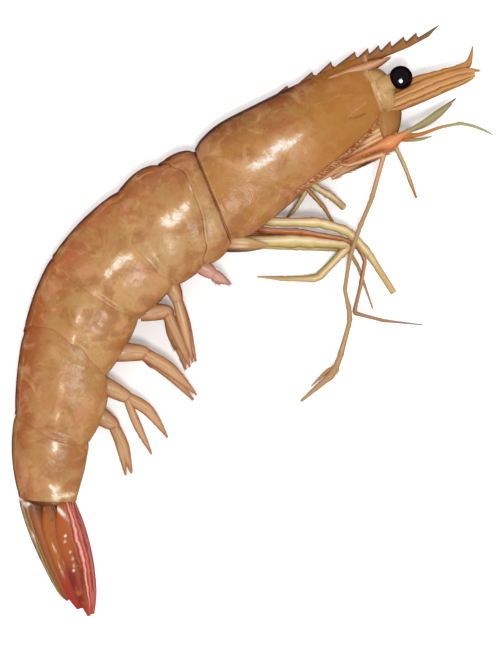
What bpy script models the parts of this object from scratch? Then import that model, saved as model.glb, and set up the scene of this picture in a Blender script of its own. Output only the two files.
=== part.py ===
"""A whole raw tiger prawn, shell on, lying on its left side.

The animal's length follows the table plane: the head points to +X +Y, the tail to -Y, and the
right side faces up, along +Z. The origin is the middle of the footprint, on the table.
Lengths are written in millimetres and turned to metres where a mesh is made.
"""
import math
from collections import namedtuple

import bmesh
import bpy
from mathutils import Vector

MM = 0.001

# Fits between neighbouring pieces
SKIN_GAP = 0.3        # clear space between two pieces that lie against each other
TUCK = 0.55           # how far a plate's front edge dips under the plate ahead of it

# Mesh fineness
AROUND_HEAD = 32
AROUND_TAIL = 28
RINGS_PER_PLATE = 6

# A slice across the trunk: its top of the back and its lowest belly point in the table plane,
# its half width at right angles to that plane, and the height of its middle above the table.
Slice = namedtuple("Slice", "back belly half_width middle")

# Cephalothorax, from the eye sockets back to the free rear edge of the carapace
HEAD_SLICES = [
    Slice((26.6, 60.2), (30.2, 47.6), 4.7, 8.6),
    Slice((20.2, 58.4), (26.6, 42.2), 6.6, 8.7),
    Slice((10.9, 54.6), (19.6, 35.8), 8.3, 8.9),
    Slice((1.6, 50.0), (10.9, 28.9), 9.1, 9.0),
    Slice((-7.2, 45.4), (1.8, 21.4), 9.4, 9.1),
    Slice((-11.9, 42.4), (-2.6, 18.9), 9.3, 9.1),
    Slice((-13.4, 40.0), (-4.7, 18.6), 9.1, 9.1),
]

# Abdomen: one list of three slices for each of the six plates, at its front edge, its middle and
# its rear edge. The middles stand proud of the edges, which gives the scalloped back.
PLATE_SLICES = [
    [
        Slice((-13.7, 39.4), (-4.9, 17.8), 9.0, 8.9),
        Slice((-17.5, 39.1), (-7.9, 14.8), 9.1, 8.8),
        Slice((-22.0, 36.4), (-10.9, 13.3), 9.1, 8.8),
    ],
    [
        Slice((-22.0, 36.4), (-10.9, 13.3), 9.1, 8.8),
        Slice((-26.8, 34.7), (-15.0, 10.1), 9.3, 8.9),
        Slice((-31.1, 30.4), (-18.3, 8.4), 9.1, 8.8),
    ],
    [
        Slice((-31.1, 30.4), (-18.3, 8.4), 9.1, 8.8),
        Slice((-39.4, 23.7), (-22.9, 3.8), 9.1, 8.7),
        Slice((-46.6, 15.1), (-26.7, 0.5), 8.6, 8.3),
    ],
    [
        Slice((-46.6, 15.1), (-26.7, 0.5), 8.6, 8.3),
        Slice((-50.9, 6.1), (-30.2, -6.4), 8.4, 8.0),
        Slice((-54.0, -5.5), (-34.1, -12.3), 7.7, 7.4),
    ],
    [
        Slice((-54.0, -5.5), (-34.1, -12.3), 7.7, 7.4),
        Slice((-55.0, -13.7), (-34.6, -20.2), 7.3, 7.0),
        Slice((-55.4, -21.6), (-38.3, -28.1), 6.4, 6.2),
    ],
    [
        Slice((-55.4, -21.6), (-38.3, -28.1), 6.4, 6.2),
        Slice((-56.1, -31.1), (-39.6, -34.6), 5.9, 5.8),
        Slice((-54.5, -41.0), (-41.4, -42.0), 4.9, 5.1),
    ],
]
HEAD_GROOVE = 0.10    # share of the half height that the legs' floor stands above the side flaps
HEAD_FULLNESS = 0.04
PLATE_GROOVE = 0.17   # the same under the abdomen, where the flaps hang lower
BELLY_FULLNESS = 0.10 # how much wider the lower half of a plate is than its upper half
KEEL = 0.03           # share of the half height by which the sides fall away from the ridge of the back

# Rostrum: the saw that runs forward from the middle of the back
ROSTRUM_TEETH = [
    (7.9, 54.7), (13.7, 57.9), (18.1, 60.3), (23.7, 62.6), (26.7, 63.4),
    (29.2, 64.1), (31.9, 65.1), (35.0, 66.1), (37.9, 67.0),
]
TOOTH_ROOTS = [
    (9.0, 53.9), (14.6, 57.0), (19.0, 59.0), (24.3, 61.2), (27.1, 62.1),
    (29.8, 62.9), (32.3, 63.8), (35.7, 65.0), (38.5, 65.9),
]
ROSTRUM_HEEL = [(2.0, 50.7), (1.0, 46.5)]
ROSTRUM_TIP = (43.6, 69.1)
ROSTRUM_UNDER = [(40.8, 66.0), (36.4, 63.6), (31.8, 61.7), (27.1, 59.9), (22.0, 54.0)]
ROSTRUM_HALF_THICK = 0.75
SOCKET_SPINE = [(20.0, 57.2), (25.0, 60.0), (32.0, 61.3), (29.6, 59.3), (25.0, 56.6)]
SOCKET_SPINE_HALF_THICK = 0.45
SOCKET_SPINE_HEIGHT = 3.2     # above and below the middle plane, over each eye

HEAD_MIDDLE = 8.6     # height of the head's middle plane above the table

# Eyes
EYE_RADIUS = 2.68
EYE_CENTRE = (34.25, 56.4)
EYE_SIDEWAYS = 5.2
STALK_ROOT = (29.4, 54.3)
STALK_SIDEWAYS = 3.1
STALK_RADII = (2.1, 1.7, 1.8)

Route = namedtuple("Route", "points radii")

# A blade is a flat limb: the line that it follows, with half widths and half thicknesses along it.
Blade = namedtuple("Blade", "points half_widths half_thicks")


def lerp(a, b, t):
    return a + (b - a) * t


def through_three(a, b, c, t):
    """The value at t of the parabola that is a at 0, b at the middle and c at 1."""
    return a * (1 - t) * (1 - 2 * t) + b * 4 * t * (1 - t) + c * t * (2 * t - 1)


def slice_between(slices, t):
    """The slice at t, from 0 to 1, on the smooth trunk through three slices."""
    first, middle, last = slices

    def at(pick):
        return through_three(pick(first), pick(middle), pick(last), t)

    return Slice(
        at(lambda s: Vector(s.back)),
        at(lambda s: Vector(s.belly)),
        at(lambda s: s.half_width),
        at(lambda s: s.middle),
    )


def smooth_step(t):
    t = min(max(t, 0.0), 1.0)
    return t * t * (3 - 2 * t)


def slice_points(cut, around, groove, keel, fullness, inset=0.0):
    """The ring of points round one slice, with the side on the table pressed flat."""
    back, belly = Vector(cut.back), Vector(cut.belly)
    centre = (back + belly) / 2
    up = (back - belly).normalized()
    half_height = (back - belly).length / 2 - inset
    half_width = cut.half_width - inset
    outline = []
    for step in range(around):
        angle = 2 * math.pi * step / around
        rise, side = math.cos(angle), math.sin(angle)
        if rise < 0:
            rise = -abs(rise) ** 0.72
            side = math.copysign(abs(side) ** 0.80, side)
            rise *= 1 - groove * (1 - smooth_step(abs(side) / 0.6))
        else:
            rise = rise ** 0.94 * (1 - keel * smooth_step(abs(side) / 0.35))
            side = math.copysign(abs(side) ** 0.90, side)
        outline.append((rise, side * (1 - fullness * math.cos(angle))))
    lowest = -min(rise for rise, side in outline)
    points = []
    for rise, side in outline:
        if rise < 0:
            rise /= lowest
        spot = centre + up * rise * half_height
        height = cut.middle + side * half_width
        points.append(Vector((spot.x, spot.y, max(height, 0.0))))
    return points


def add_object(name, mesh, material, collection):
    thing = bpy.data.objects.new(name, mesh)
    mesh.materials.append(material)
    collection.objects.link(thing)
    return thing


def loft(name, rings, material, collection):
    """A closed skin through rings of points, with a fan of triangles over each end."""
    work = bmesh.new()
    rows = [[work.verts.new(point * MM) for point in ring] for ring in rings]
    count = len(rings[0])
    for near, far in zip(rows, rows[1:]):
        for i in range(count):
            j = (i + 1) % count
            work.faces.new((near[i], near[j], far[j], far[i]))
    for row, ring in ((rows[0], rings[0]), (rows[-1], rings[-1])):
        hub = work.verts.new(sum(ring, Vector()) / count * MM)
        for i in range(count):
            work.faces.new((row[i], hub, row[(i + 1) % count]))
    bmesh.ops.recalc_face_normals(work, faces=work.faces)
    mesh = bpy.data.meshes.new(name)
    work.to_mesh(mesh)
    work.free()
    mesh.shade_smooth()
    mesh.set_sharp_from_angle(angle=math.radians(40))
    return add_object(name, mesh, material, collection)


def shell_material(name, colour, roughness):
    """Chitin is a plain dielectric, so metallic stays 0."""
    material = bpy.data.materials.new(name)
    material.use_nodes = True
    shader = material.node_tree.nodes["Principled BSDF"]
    shader.inputs["Base Color"].default_value = (*colour, 1.0)
    shader.inputs["Roughness"].default_value = roughness
    shader.inputs["Metallic"].default_value = 0.0
    return material


def flat_plate(name, outline, half_thick, height, collection):
    """A flat outline in the table plane, given a thickness, as a mesh that a Boolean can take."""
    curve = bpy.data.curves.new(name, "CURVE")
    curve.dimensions = "2D"
    curve.fill_mode = "BOTH"
    curve.extrude = half_thick * MM
    line = curve.splines.new("POLY")
    line.points.add(len(outline) - 1)
    for point, (x, y) in zip(line.points, outline):
        point.co = (x * MM, y * MM, 0.0, 1.0)
    line.use_cyclic_u = True
    guide = bpy.data.objects.new(name + "_outline", curve)
    guide.location.z = height * MM
    collection.objects.link(guide)
    return to_mesh_object(guide, name, collection)


def to_mesh_object(guide, name, collection):
    """Turns a curve object into a mesh object of the same place, with its caps welded on."""
    bpy.context.view_layer.update()
    evaluated = guide.evaluated_get(bpy.context.evaluated_depsgraph_get())
    mesh = bpy.data.meshes.new_from_object(evaluated)
    work = bmesh.new()
    work.from_mesh(mesh)
    bmesh.ops.remove_doubles(work, verts=work.verts, dist=0.001 * MM)
    bmesh.ops.recalc_face_normals(work, faces=work.faces)
    work.to_mesh(mesh)
    work.free()
    made = bpy.data.objects.new(name, mesh)
    made.matrix_world = guide.matrix_world
    collection.objects.link(made)
    bpy.data.objects.remove(guide)
    return made


def fuse(host, extras):
    """Joins the extras to the host with one Boolean union, and removes them."""
    parts = bpy.data.collections.new(host.name + "_joined")
    bpy.context.scene.collection.children.link(parts)
    for extra in extras:
        for holder in extra.users_collection:
            holder.objects.unlink(extra)
        parts.objects.link(extra)
    union = host.modifiers.new("Join", "BOOLEAN")
    union.operation = "UNION"
    union.operand_type = "COLLECTION"
    union.collection = parts
    bpy.context.view_layer.update()
    evaluated = host.evaluated_get(bpy.context.evaluated_depsgraph_get())
    mesh = bpy.data.meshes.new_from_object(evaluated)
    host.modifiers.remove(union)
    host.data = mesh
    for extra in list(parts.objects):
        bpy.data.objects.remove(extra)
    bpy.data.collections.remove(parts)
    return host


def smooth_chain(slices, steps):
    """Slices on a smooth trunk that passes through all the given ones."""
    rows = [[*s.back, *s.belly, s.half_width, s.middle] for s in slices]
    rows = [rows[0], *rows, rows[-1]]
    chain = []
    for i in range(1, len(rows) - 2):
        for step in range(steps):
            t = step / steps
            values = [
                b + t * (c - a + t * (2 * a - 5 * b + 4 * c - d + t * (3 * b - 3 * c + d - a))) / 2
                for a, b, c, d in zip(rows[i - 1], rows[i], rows[i + 1], rows[i + 2])
            ]
            chain.append(Slice(values[0:2], values[2:4], values[4], values[5]))
    chain.append(slices[-1])
    return chain


def carapace(material, collection):
    """The head shield with its toothed rostrum and the spine over each eye socket."""
    skin = [
        slice_points(cut, AROUND_HEAD, HEAD_GROOVE, KEEL, HEAD_FULLNESS)
        for cut in smooth_chain(HEAD_SLICES, 3)
    ]
    shield = loft("carapace", skin, material, collection)
    saw = list(ROSTRUM_HEEL[::-1])
    for tip, root in zip(ROSTRUM_TEETH, TOOTH_ROOTS):
        saw += [tip, root]
    saw += [ROSTRUM_TIP, *ROSTRUM_UNDER]
    extras = [flat_plate("rostrum", saw, ROSTRUM_HALF_THICK, HEAD_MIDDLE, collection)]
    for side in (1, -1):
        height = HEAD_MIDDLE + side * SOCKET_SPINE_HEIGHT
        extras.append(flat_plate(
            f"socket_spine_{side}", SOCKET_SPINE, SOCKET_SPINE_HALF_THICK, height, collection))
    return fuse(shield, extras)


def abdomen_plate(number, slices, material, collection):
    """One plate of the abdomen with the flesh inside it, from its tucked front to its free rear edge."""
    first, last = slices[0], slices[-1]
    length = (Vector(last.back) + Vector(last.belly) - Vector(first.back) - Vector(first.belly)).length / 2
    rings = []
    for step in range(RINGS_PER_PLATE + 1):
        t = lerp(SKIN_GAP / length, 1.0, step / RINGS_PER_PLATE)
        inset = TUCK * (1 - smooth_step(t / 0.22))
        cut = slice_between(slices, t)
        rings.append(slice_points(
            cut, AROUND_TAIL, PLATE_GROOVE, KEEL, BELLY_FULLNESS, inset))
    return loft(f"abdomen_{number}", rings, material, collection)


def eye(name, side, material, collection):
    bpy.ops.mesh.primitive_uv_sphere_add(
        segments=18, ring_count=12, radius=EYE_RADIUS * MM,
        location=(EYE_CENTRE[0] * MM, EYE_CENTRE[1] * MM, (HEAD_MIDDLE + side * EYE_SIDEWAYS) * MM),
    )
    ball = bpy.context.object
    ball.name = name
    for holder in ball.users_collection:
        holder.objects.unlink(ball)
    collection.objects.link(ball)
    ball.data.materials.append(material)
    ball.data.shade_smooth()
    return ball


def eyestalk(name, side, material, collection):
    """The stalk from the socket to the eye, which it stops short of by the skin gap."""
    root = Vector((*STALK_ROOT, HEAD_MIDDLE + side * STALK_SIDEWAYS))
    centre = Vector((*EYE_CENTRE, HEAD_MIDDLE + side * EYE_SIDEWAYS))
    along = (centre - root).normalized()
    end = centre - along * (EYE_RADIUS + SKIN_GAP)
    return round_limb(name, [root, (root + end) / 2, end], STALK_RADII, material, collection)


def round_limb(name, points, radii, material, collection, sides_step=2):
    """A round limb along points, as thick as its radii, with its ends closed."""
    curve = bpy.data.curves.new(name, "CURVE")
    curve.dimensions = "3D"
    curve.bevel_depth = MM
    curve.bevel_resolution = sides_step
    curve.use_fill_caps = True
    line = curve.splines.new("POLY")
    line.points.add(len(points) - 1)
    for spot, point, radius in zip(line.points, points, radii):
        spot.co = (*(Vector(point) * MM), 1.0)
        spot.radius = radius
    limb = bpy.data.objects.new(name, curve)
    curve.materials.append(material)
    collection.objects.link(limb)
    return limb


def knuckled(joints, radii):
    """Rounds the bend at each joint of a limb and swells it a little, as shelled joints do."""
    joints = [Vector(joint) for joint in joints]
    points, thick = [joints[0]], [radii[0]]
    for i in range(1, len(joints) - 1):
        before = joints[i] - joints[i - 1]
        after = joints[i + 1] - joints[i]
        reach = min(1.5 * radii[i], 0.3 * before.length, 0.3 * after.length)
        enter = joints[i] - before.normalized() * reach
        leave = joints[i] + after.normalized() * reach
        points += [enter, (enter + 2 * joints[i] + leave) / 4, leave]
        thick += [radii[i] * 0.95, radii[i] * 1.08, radii[i] * 0.95]
    return [*points, joints[-1]], [*thick, radii[-1]]


def blade(name, shape, material, collection, sides=8):
    """A flat limb: an oval section carried along a line that lies near the table plane."""
    points = [Vector(point) for point in shape.points]
    rings = []
    for i, point in enumerate(points):
        ahead = points[min(i + 1, len(points) - 1)] - points[max(i - 1, 0)]
        across = Vector((0, 0, 1)).cross(ahead).normalized()
        through = ahead.cross(across).normalized()
        ring = []
        for step in range(sides):
            angle = 2 * math.pi * step / sides
            ring.append(
                point
                + across * math.cos(angle) * shape.half_widths[i]
                + through * math.sin(angle) * shape.half_thicks[i])
        rings.append(ring)
    return loft(name, rings, material, collection)


# Tail fan, as it lies folded: the telson in the middle plane with two blades on each side of it.
# The third number of a blade's point is how far it lies to the side of the fan's middle.
TELSON = Blade(
    [(-51.6, -42.7, 0), (-49.7, -49.0, 0), (-47.2, -56.0, 0), (-43.6, -64.6, 0)],
    (2.7, 2.4, 1.6, 0.35),
    (1.1, 1.0, 0.75, 0.3),
)
INNER_BLADE = Blade(
    [(-47.5, -42.9, 1.9), (-46.2, -48.5, 1.9), (-43.4, -56.0, 1.7), (-41.0, -63.0, 1.45),
     (-39.7, -67.3, 1.3)],
    (1.5, 2.7, 3.0, 2.0, 0.5),
    (0.45, 0.45, 0.40, 0.35, 0.25),
)
OUTER_BLADE = Blade(
    [(-43.8, -42.9, 3.2), (-42.9, -48.5, 3.2), (-41.0, -56.0, 2.9), (-39.3, -63.5, 2.5),
     (-38.2, -68.7, 2.2)],
    (1.7, 2.9, 2.9, 2.0, 0.4),
    (0.50, 0.45, 0.40, 0.35, 0.25),
)
LOWER_FAN_SHIFT = (0.7, 0.1)  # how far the blades next to the table are pushed out of the fan

# Feelers and mouth limbs. Those in pairs carry the distance from the middle plane of the head
# as their third number, the others the height above the table.
SCALE = Blade(
    [(31.2, 50.0, 3.45), (34.5, 51.2, 3.45), (39.0, 53.2, 3.45), (44.5, 55.4, 3.35),
     (49.0, 56.9, 3.2), (51.3, 57.3, 3.1)],
    (1.5, 2.1, 2.3, 2.1, 1.7, 0.9),
    (0.40, 0.42, 0.42, 0.40, 0.35, 0.25),
)
ANTENNULE = Route(
    [(31.2, 51.4, 1.4), (37.4, 55.3, 1.4), (43.4, 57.1, 1.4), (48.2, 58.6, 1.4), (49.8, 59.6, 1.4),
     (50.5, 61.3, 1.4), (51.0, 63.8, 1.4)],
    (1.05, 1.25, 1.15, 1.0, 0.85, 0.45, 0.12),
)
ANTENNULE_BRANCH = Route([(48.4, 58.2, 1.4), (50.6, 58.2, 1.7), (52.8, 58.1, 2.0)], (0.55, 0.38, 0.1))
ANTENNA_RIGHT = Route(
    [(32.5, 48.0, 12.0), (32.6, 45.4, 12.1), (33.0, 44.2, 12.0), (34.2, 42.7, 11.4), (38.7, 43.3, 9.4),
     (43.4, 45.0, 7.0), (46.9, 45.8, 5.2), (48.4, 46.1, 4.6), (51.5, 45.5, 3.3), (54.3, 44.5, 2.2),
     (56.1, 43.6, 1.5)],
    (1.6, 1.75, 1.2, 0.7, 0.45, 0.38, 0.36, 0.42, 0.34, 0.28, 0.12),
)
ANTENNA_LEFT = Route(
    [(32.5, 48.0, 5.2), (32.6, 45.4, 5.1), (33.0, 44.2, 5.0), (34.2, 42.5, 4.6), (38.6, 42.4, 3.4),
     (41.8, 43.2, 2.4)],
    (1.6, 1.75, 1.2, 0.7, 0.42, 0.14),
)
MOUTHPARTS = Blade(
    [(18.2, 33.2, 8.9), (20.8, 34.9, 8.9), (25.4, 37.8, 8.8), (29.2, 40.3, 8.7), (32.0, 41.6, 8.6),
     (33.6, 42.2, 8.6)],
    (0.6, 0.95, 1.9, 2.3, 2.0, 1.2),
    (1.8, 2.2, 2.4, 2.2, 1.4, 0.9),
)
MAXILLIPED_RIGHT = Blade(
    [(24.4, 38.7, 12.6), (27.4, 40.2, 12.6), (31.0, 41.8, 12.9), (33.4, 41.9, 13.8), (36.4, 44.0, 12.2),
     (39.9, 46.3, 9.9), (43.5, 48.9, 7.6), (47.3, 51.9, 5.0)],
    (0.55, 0.60, 0.60, 0.50, 0.42, 0.75, 0.75, 0.15),
    (0.50, 0.55, 0.55, 0.50, 0.4, 0.32, 0.3, 0.12),
)
MAXILLIPED_LEFT = Blade(
    [(24.4, 38.3, 4.6), (27.4, 39.9, 4.2), (31.0, 41.6, 3.3), (33.8, 43.0, 2.5), (36.6, 44.4, 1.9),
     (40.1, 46.1, 1.5), (43.4, 48.3, 1.2), (46.6, 50.9, 0.9)],
    (0.55, 0.60, 0.60, 0.5, 0.42, 0.75, 0.75, 0.15),
    (0.50, 0.55, 0.55, 0.5, 0.4, 0.32, 0.3, 0.12),
)

# Walking legs, front pair first. Joints carry x, y and the height above the table.
WALKING_LEGS = {
    "leg_1_right": Route(
        [(23.2, 36.5, 12.2), (28.0, 38.2, 12.3), (33.2, 39.8, 11.8), (36.0, 35.8, 7.6), (37.0, 32.4, 4.6),
         (38.2, 28.9, 1.4)],
        (0.5, 0.52, 0.55, 0.52, 0.48, 0.15)),
    "leg_1_left": Route(
        [(15.3, 30.5, 6.0), (17.7, 29.6, 4.0), (21.4, 26.5, 1.1)],
        (0.7, 0.78, 0.74)),
    "leg_2_right": Route(
        [(22.0, 35.9, 13.7), (26.0, 37.1, 14.8), (30.2, 38.5, 14.8), (27.4, 28.1, 11.2),
         (24.7, 21.6, 9.0), (22.4, 14.2, 6.8), (21.4, 7.2, 4.7), (22.5, 2.6, 3.3), (22.6, -0.2, 2.8),
         (20.3, -8.6, 1.7), (18.7, -12.3, 1.5), (11.2, -18.8, 0.9)],
        (0.5, 0.55, 0.6, 0.58, 0.56, 0.54, 0.5, 0.6, 0.62, 0.7, 0.95, 0.3)),
    "leg_2_left": Route(
        [(13.5, 28.9, 6.0), (16.5, 26.8, 3.2), (18.7, 23.2, 0.9)],
        (0.5, 0.45, 0.32)),
    "leg_3_right": Route(
        [(5.8, 22.9, 11.6), (15.5, 22.5, 8.8), (22.3, 20.3, 6.4), (26.9, 15.8, 4.4), (32.9, 6.7, 1.0)],
        (0.85, 0.93, 0.95, 0.92, 0.75)),
    "leg_3_left": Route(
        [(11.4, 27.5, 5.6), (9.8, 25.8, 3.0), (7.9, 24.1, 1.1)],
        (0.5, 0.42, 0.3)),
    "leg_4_right": Route(
        [(3.8, 20.8, 11.2), (10.9, 20.8, 8.8), (21.3, 19.0, 4.7), (24.6, 17.2, 4.0), (26.2, 14.0, 3.3),
         (25.2, 8.4, 2.2), (23.7, 1.9, 1.1), (30.6, 0.1, 0.6), (39.9, -0.9, 0.4)],
        (0.6, 0.65, 0.62, 0.6, 0.5, 0.5, 0.5, 0.38, 0.12)),
    "leg_4_left": Route(
        [(0.8, 19.0, 6.4), (12.0, 19.6, 3.6), (21.3, 18.4, 0.9), (24.6, 12.8, 0.7), (28.1, 2.9, 0.5)],
        (0.68, 0.75, 0.62, 0.45, 0.2)),
    "leg_5_right": Route(
        [(-3.0, 16.9, 11.0), (10.9, 18.0, 6.6), (23.2, 17.3, 2.9), (15.1, 10.0, 1.4), (7.4, 9.9, 1.0),
         (0.9, 10.4, 0.6)],
        (0.9, 0.95, 0.85, 0.85, 0.6, 0.15)),
    "leg_5_left": Route(
        [(-1.2, 17.4, 6.6), (10.9, 17.1, 2.9), (20.4, 16.7, 0.8), (21.4, 14.9, 0.7)],
        (0.6, 0.6, 0.5, 0.3)),
}
CLAW_THUMB = Route([(18.9, -11.2, 1.5), (17.4, -11.7, 1.3), (13.6, -15.3, 1.1)], (0.35, 0.42, 0.15))

# Swimmerets hang in pairs under the first five plates. Each is a stem with an outer and an inner
# blade, given for the right side; the left one is the same limb lying lower, turned a little.
Swimmeret = namedtuple("Swimmeret", "stem outer inner")
SWIMMERETS = [
    Swimmeret(
        [(-10.9, 12.0), (-9.4, 11.0)],
        [(-9.4, 11.0), (-7.9, 10.1), (-5.3, 8.5)],
        [(-9.4, 11.0), (-8.8, 9.8), (-7.6, 8.6)]),
    Swimmeret(
        [(-18.4, 7.2), (-17.7, 5.2)],
        [(-17.7, 5.2), (-16.0, -1.0), (-14.0, -9.6)],
        [(-17.7, 5.2), (-17.1, 1.8), (-16.6, -2.0)]),
    Swimmeret(
        [(-23.4, 2.1), (-20.0, 2.2)],
        [(-20.0, 2.2), (-17.2, -3.8), (-14.7, -10.7)],
        [(-20.0, 2.2), (-18.9, -2.2), (-17.5, -6.4)]),
    Swimmeret(
        [(-29.4, -7.2), (-25.7, -7.3)],
        [(-25.7, -7.3), (-19.3, -11.2), (-13.1, -17.2)],
        [(-25.7, -7.3), (-23.4, -9.4), (-20.8, -10.6)]),
    Swimmeret(
        [(-33.2, -15.6), (-29.6, -17.5)],
        [(-29.6, -17.5), (-24.4, -20.8), (-19.9, -27.1)],
        [(-29.6, -17.5), (-26.8, -24.4), (-23.6, -31.0)]),
]
SWIMMERET_WIDTHS = [0.85, 1.0, 1.2, 1.25, 1.15]
STEM_SIDEWAYS = 2.1           # from the middle of the plate to a stem's root
DROOP = [1.0, 1.3, 4.6, 3.6, 3.4]     # how far each right blade's tip hangs towards the table
LOWER_TURN = [0.0, 0.04, -0.08, -0.08, 0.0]     # turn of each left swimmeret, in radians
LAST_LEFT_STEM = [(-34.5, -22.8), (-32.6, -24.2)]
LAST_LEFT_OUTER = [(-32.6, -24.2), (-30.3, -29.4), (-28.4, -35.6)]


def fan_blade(name, shape, side, material, collection):
    """A blade of the tail fan; the fan's middle falls towards the table along its length."""
    shift = LOWER_FAN_SHIFT if side < 0 else (0.0, 0.0)
    points = []
    for x, y, aside in shape.points:
        middle = lerp(5.0, 3.1, (-43.0 - y) / 25.0)
        points.append((x + shift[0], y + shift[1], middle + side * aside))
    return blade(name, Blade(points, shape.half_widths, shape.half_thicks), material, collection)


def beside_head(points, side):
    return [(x, y, HEAD_MIDDLE + side * aside) for x, y, aside in points]


def rooted_limb(name, route, material, collection):
    points, radii = knuckled(route.points, route.radii)
    return round_limb(name, points, radii, material, collection)


def turned(points, pivot, angle):
    """Points in the table plane, turned about the pivot."""
    cos, sin = math.cos(angle), math.sin(angle)
    return [
        (pivot[0] + (x - pivot[0]) * cos - (y - pivot[1]) * sin,
         pivot[1] + (x - pivot[0]) * sin + (y - pivot[1]) * cos)
        for x, y in points
    ]


def swimmeret(name, limb, width, start, end, material, collection):
    """A stem with its two blades, made one solid. It runs from the start to the end height."""
    knee = lerp(start, end, 0.2)
    stem = Blade(
        [(*limb.stem[0], start), (*limb.stem[1], knee)],
        (1.15 * width, 1.0 * width), (0.75, 0.55))
    outer = Blade(
        [(*limb.outer[0], knee), (*limb.outer[1], lerp(start, end, 0.6)), (*limb.outer[2], end)],
        (0.8 * width, 1.1 * width, 0.25), (0.42, 0.36, 0.15))
    inner = Blade(
        [(*limb.inner[0], knee), (*limb.inner[1], lerp(start, end, 0.5) - 0.35),
         (*limb.inner[2], lerp(start, end, 0.8) - 0.5)],
        (0.7 * width, 0.75 * width, 0.2), (0.40, 0.32, 0.15))
    host = blade(name, stem, material, collection)
    extras = [
        blade(f"{name}_outer", outer, material, collection),
        blade(f"{name}_inner", inner, material, collection),
    ]
    return fuse(host, extras)


for old in list(bpy.data.objects):
    bpy.data.objects.remove(old)

prawn = bpy.data.collections.new("raw_tiger_prawn")
bpy.context.scene.collection.children.link(prawn)

# Trunk
carapace(shell_material("head_shell", (0.36, 0.16, 0.06), 0.28), prawn)
for index, slices in enumerate(PLATE_SLICES):
    tone = 1 - 0.03 * index
    colour = (0.40 * tone, 0.20 * tone, 0.09 * tone)
    abdomen_plate(
        index + 1, slices, shell_material(f"abdomen_shell_{index + 1}", colour, 0.26), prawn)

# Tail fan
telson_points = [(x, y, lerp(5.0, 3.1, (-43.0 - y) / 25.0)) for x, y, _ in TELSON.points]
blade(
    "telson", Blade(telson_points, TELSON.half_widths, TELSON.half_thicks),
    shell_material("telson_shell", (0.30, 0.11, 0.03), 0.3), prawn)
for side_name, side in (("right", 1), ("left", -1)):
    fan_blade(
        f"uropod_inner_{side_name}", INNER_BLADE, side,
        shell_material(f"uropod_inner_{side_name}_shell", (0.36, 0.11, 0.03), 0.3), prawn)
    fan_blade(
        f"uropod_outer_{side_name}", OUTER_BLADE, side,
        shell_material(f"uropod_outer_{side_name}_shell", (0.42, 0.08, 0.03), 0.3), prawn)

# Head: eyes on their stalks, feelers and mouth
for side_name, side in (("right", 1), ("left", -1)):
    eye(
        f"eye_{side_name}", side,
        shell_material(f"eye_{side_name}_cornea", (0.006, 0.003, 0.006), 0.08), prawn)
    eyestalk(
        f"eyestalk_{side_name}", side,
        shell_material(f"eyestalk_{side_name}_skin", (0.50, 0.32, 0.14), 0.35), prawn)
    blade(
        f"antennal_scale_{side_name}",
        Blade(beside_head(SCALE.points, side), SCALE.half_widths, SCALE.half_thicks),
        shell_material(f"antennal_scale_{side_name}_shell", (0.50, 0.26, 0.10), 0.32), prawn)
    feeler_skin = shell_material(f"antennule_{side_name}_shell", (0.46, 0.20, 0.09), 0.34)
    feeler = round_limb(
        f"antennule_{side_name}_stem", beside_head(ANTENNULE.points, side), ANTENNULE.radii,
        feeler_skin, prawn)
    feeler = to_mesh_object(feeler, f"antennule_{side_name}", prawn)
    branch = round_limb(
        f"antennule_{side_name}_spur", beside_head(ANTENNULE_BRANCH.points, side),
        ANTENNULE_BRANCH.radii, feeler_skin, prawn)
    branch = to_mesh_object(branch, f"antennule_{side_name}_branch", prawn)
    fuse(feeler, [branch])
for side_name, route, limb in (
    ("right", ANTENNA_RIGHT, MAXILLIPED_RIGHT),
    ("left", ANTENNA_LEFT, MAXILLIPED_LEFT),
):
    round_limb(
        f"antenna_{side_name}", route.points, route.radii,
        shell_material(f"antenna_{side_name}_shell", (0.50, 0.20, 0.06), 0.34), prawn)
    blade(
        f"maxilliped_{side_name}", limb,
        shell_material(f"maxilliped_{side_name}_shell", (0.42, 0.30, 0.12), 0.36), prawn)
blade("mouthparts", MOUTHPARTS, shell_material("mouthpart_shell", (0.46, 0.12, 0.04), 0.34), prawn)

# Walking legs; the second right one ends in a claw
for name, route in WALKING_LEGS.items():
    skin = shell_material(f"{name}_shell", (0.56, 0.36, 0.14), 0.34)
    limb = rooted_limb(name + "_limb" if name == "leg_2_right" else name, route, skin, prawn)
    if name == "leg_2_right":
        limb = to_mesh_object(limb, name, prawn)
        thumb = round_limb("claw_thumb_limb", CLAW_THUMB.points, CLAW_THUMB.radii, skin, prawn)
        fuse(limb, [to_mesh_object(thumb, "claw_thumb", prawn)])

# Swimmerets, under the middle of the first five plates
for index, (limb, width) in enumerate(zip(SWIMMERETS, SWIMMERET_WIDTHS)):
    middle = PLATE_SLICES[index][1].middle
    start = middle + STEM_SIDEWAYS
    name = f"swimmeret_{index + 1}"
    swimmeret(
        f"{name}_right", limb, width, start, start - DROOP[index],
        shell_material(f"{name}_right_shell", (0.50, 0.27, 0.15), 0.36), prawn)
    start = middle - STEM_SIDEWAYS
    if index == 4:
        lower = Swimmeret(LAST_LEFT_STEM, LAST_LEFT_OUTER, turned(LAST_LEFT_OUTER, LAST_LEFT_OUTER[0], -0.12))
    else:
        pivot = limb.stem[0]
        lower = Swimmeret(*(turned(points, pivot, LOWER_TURN[index]) for points in limb))
    swimmeret(
        f"{name}_left", lower, width, start, max(start - DROOP[index], 0.9),
        shell_material(f"{name}_left_shell", (0.46, 0.24, 0.13), 0.36), prawn)
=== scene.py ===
import math

import bmesh
import bpy
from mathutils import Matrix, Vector, noise


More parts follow.
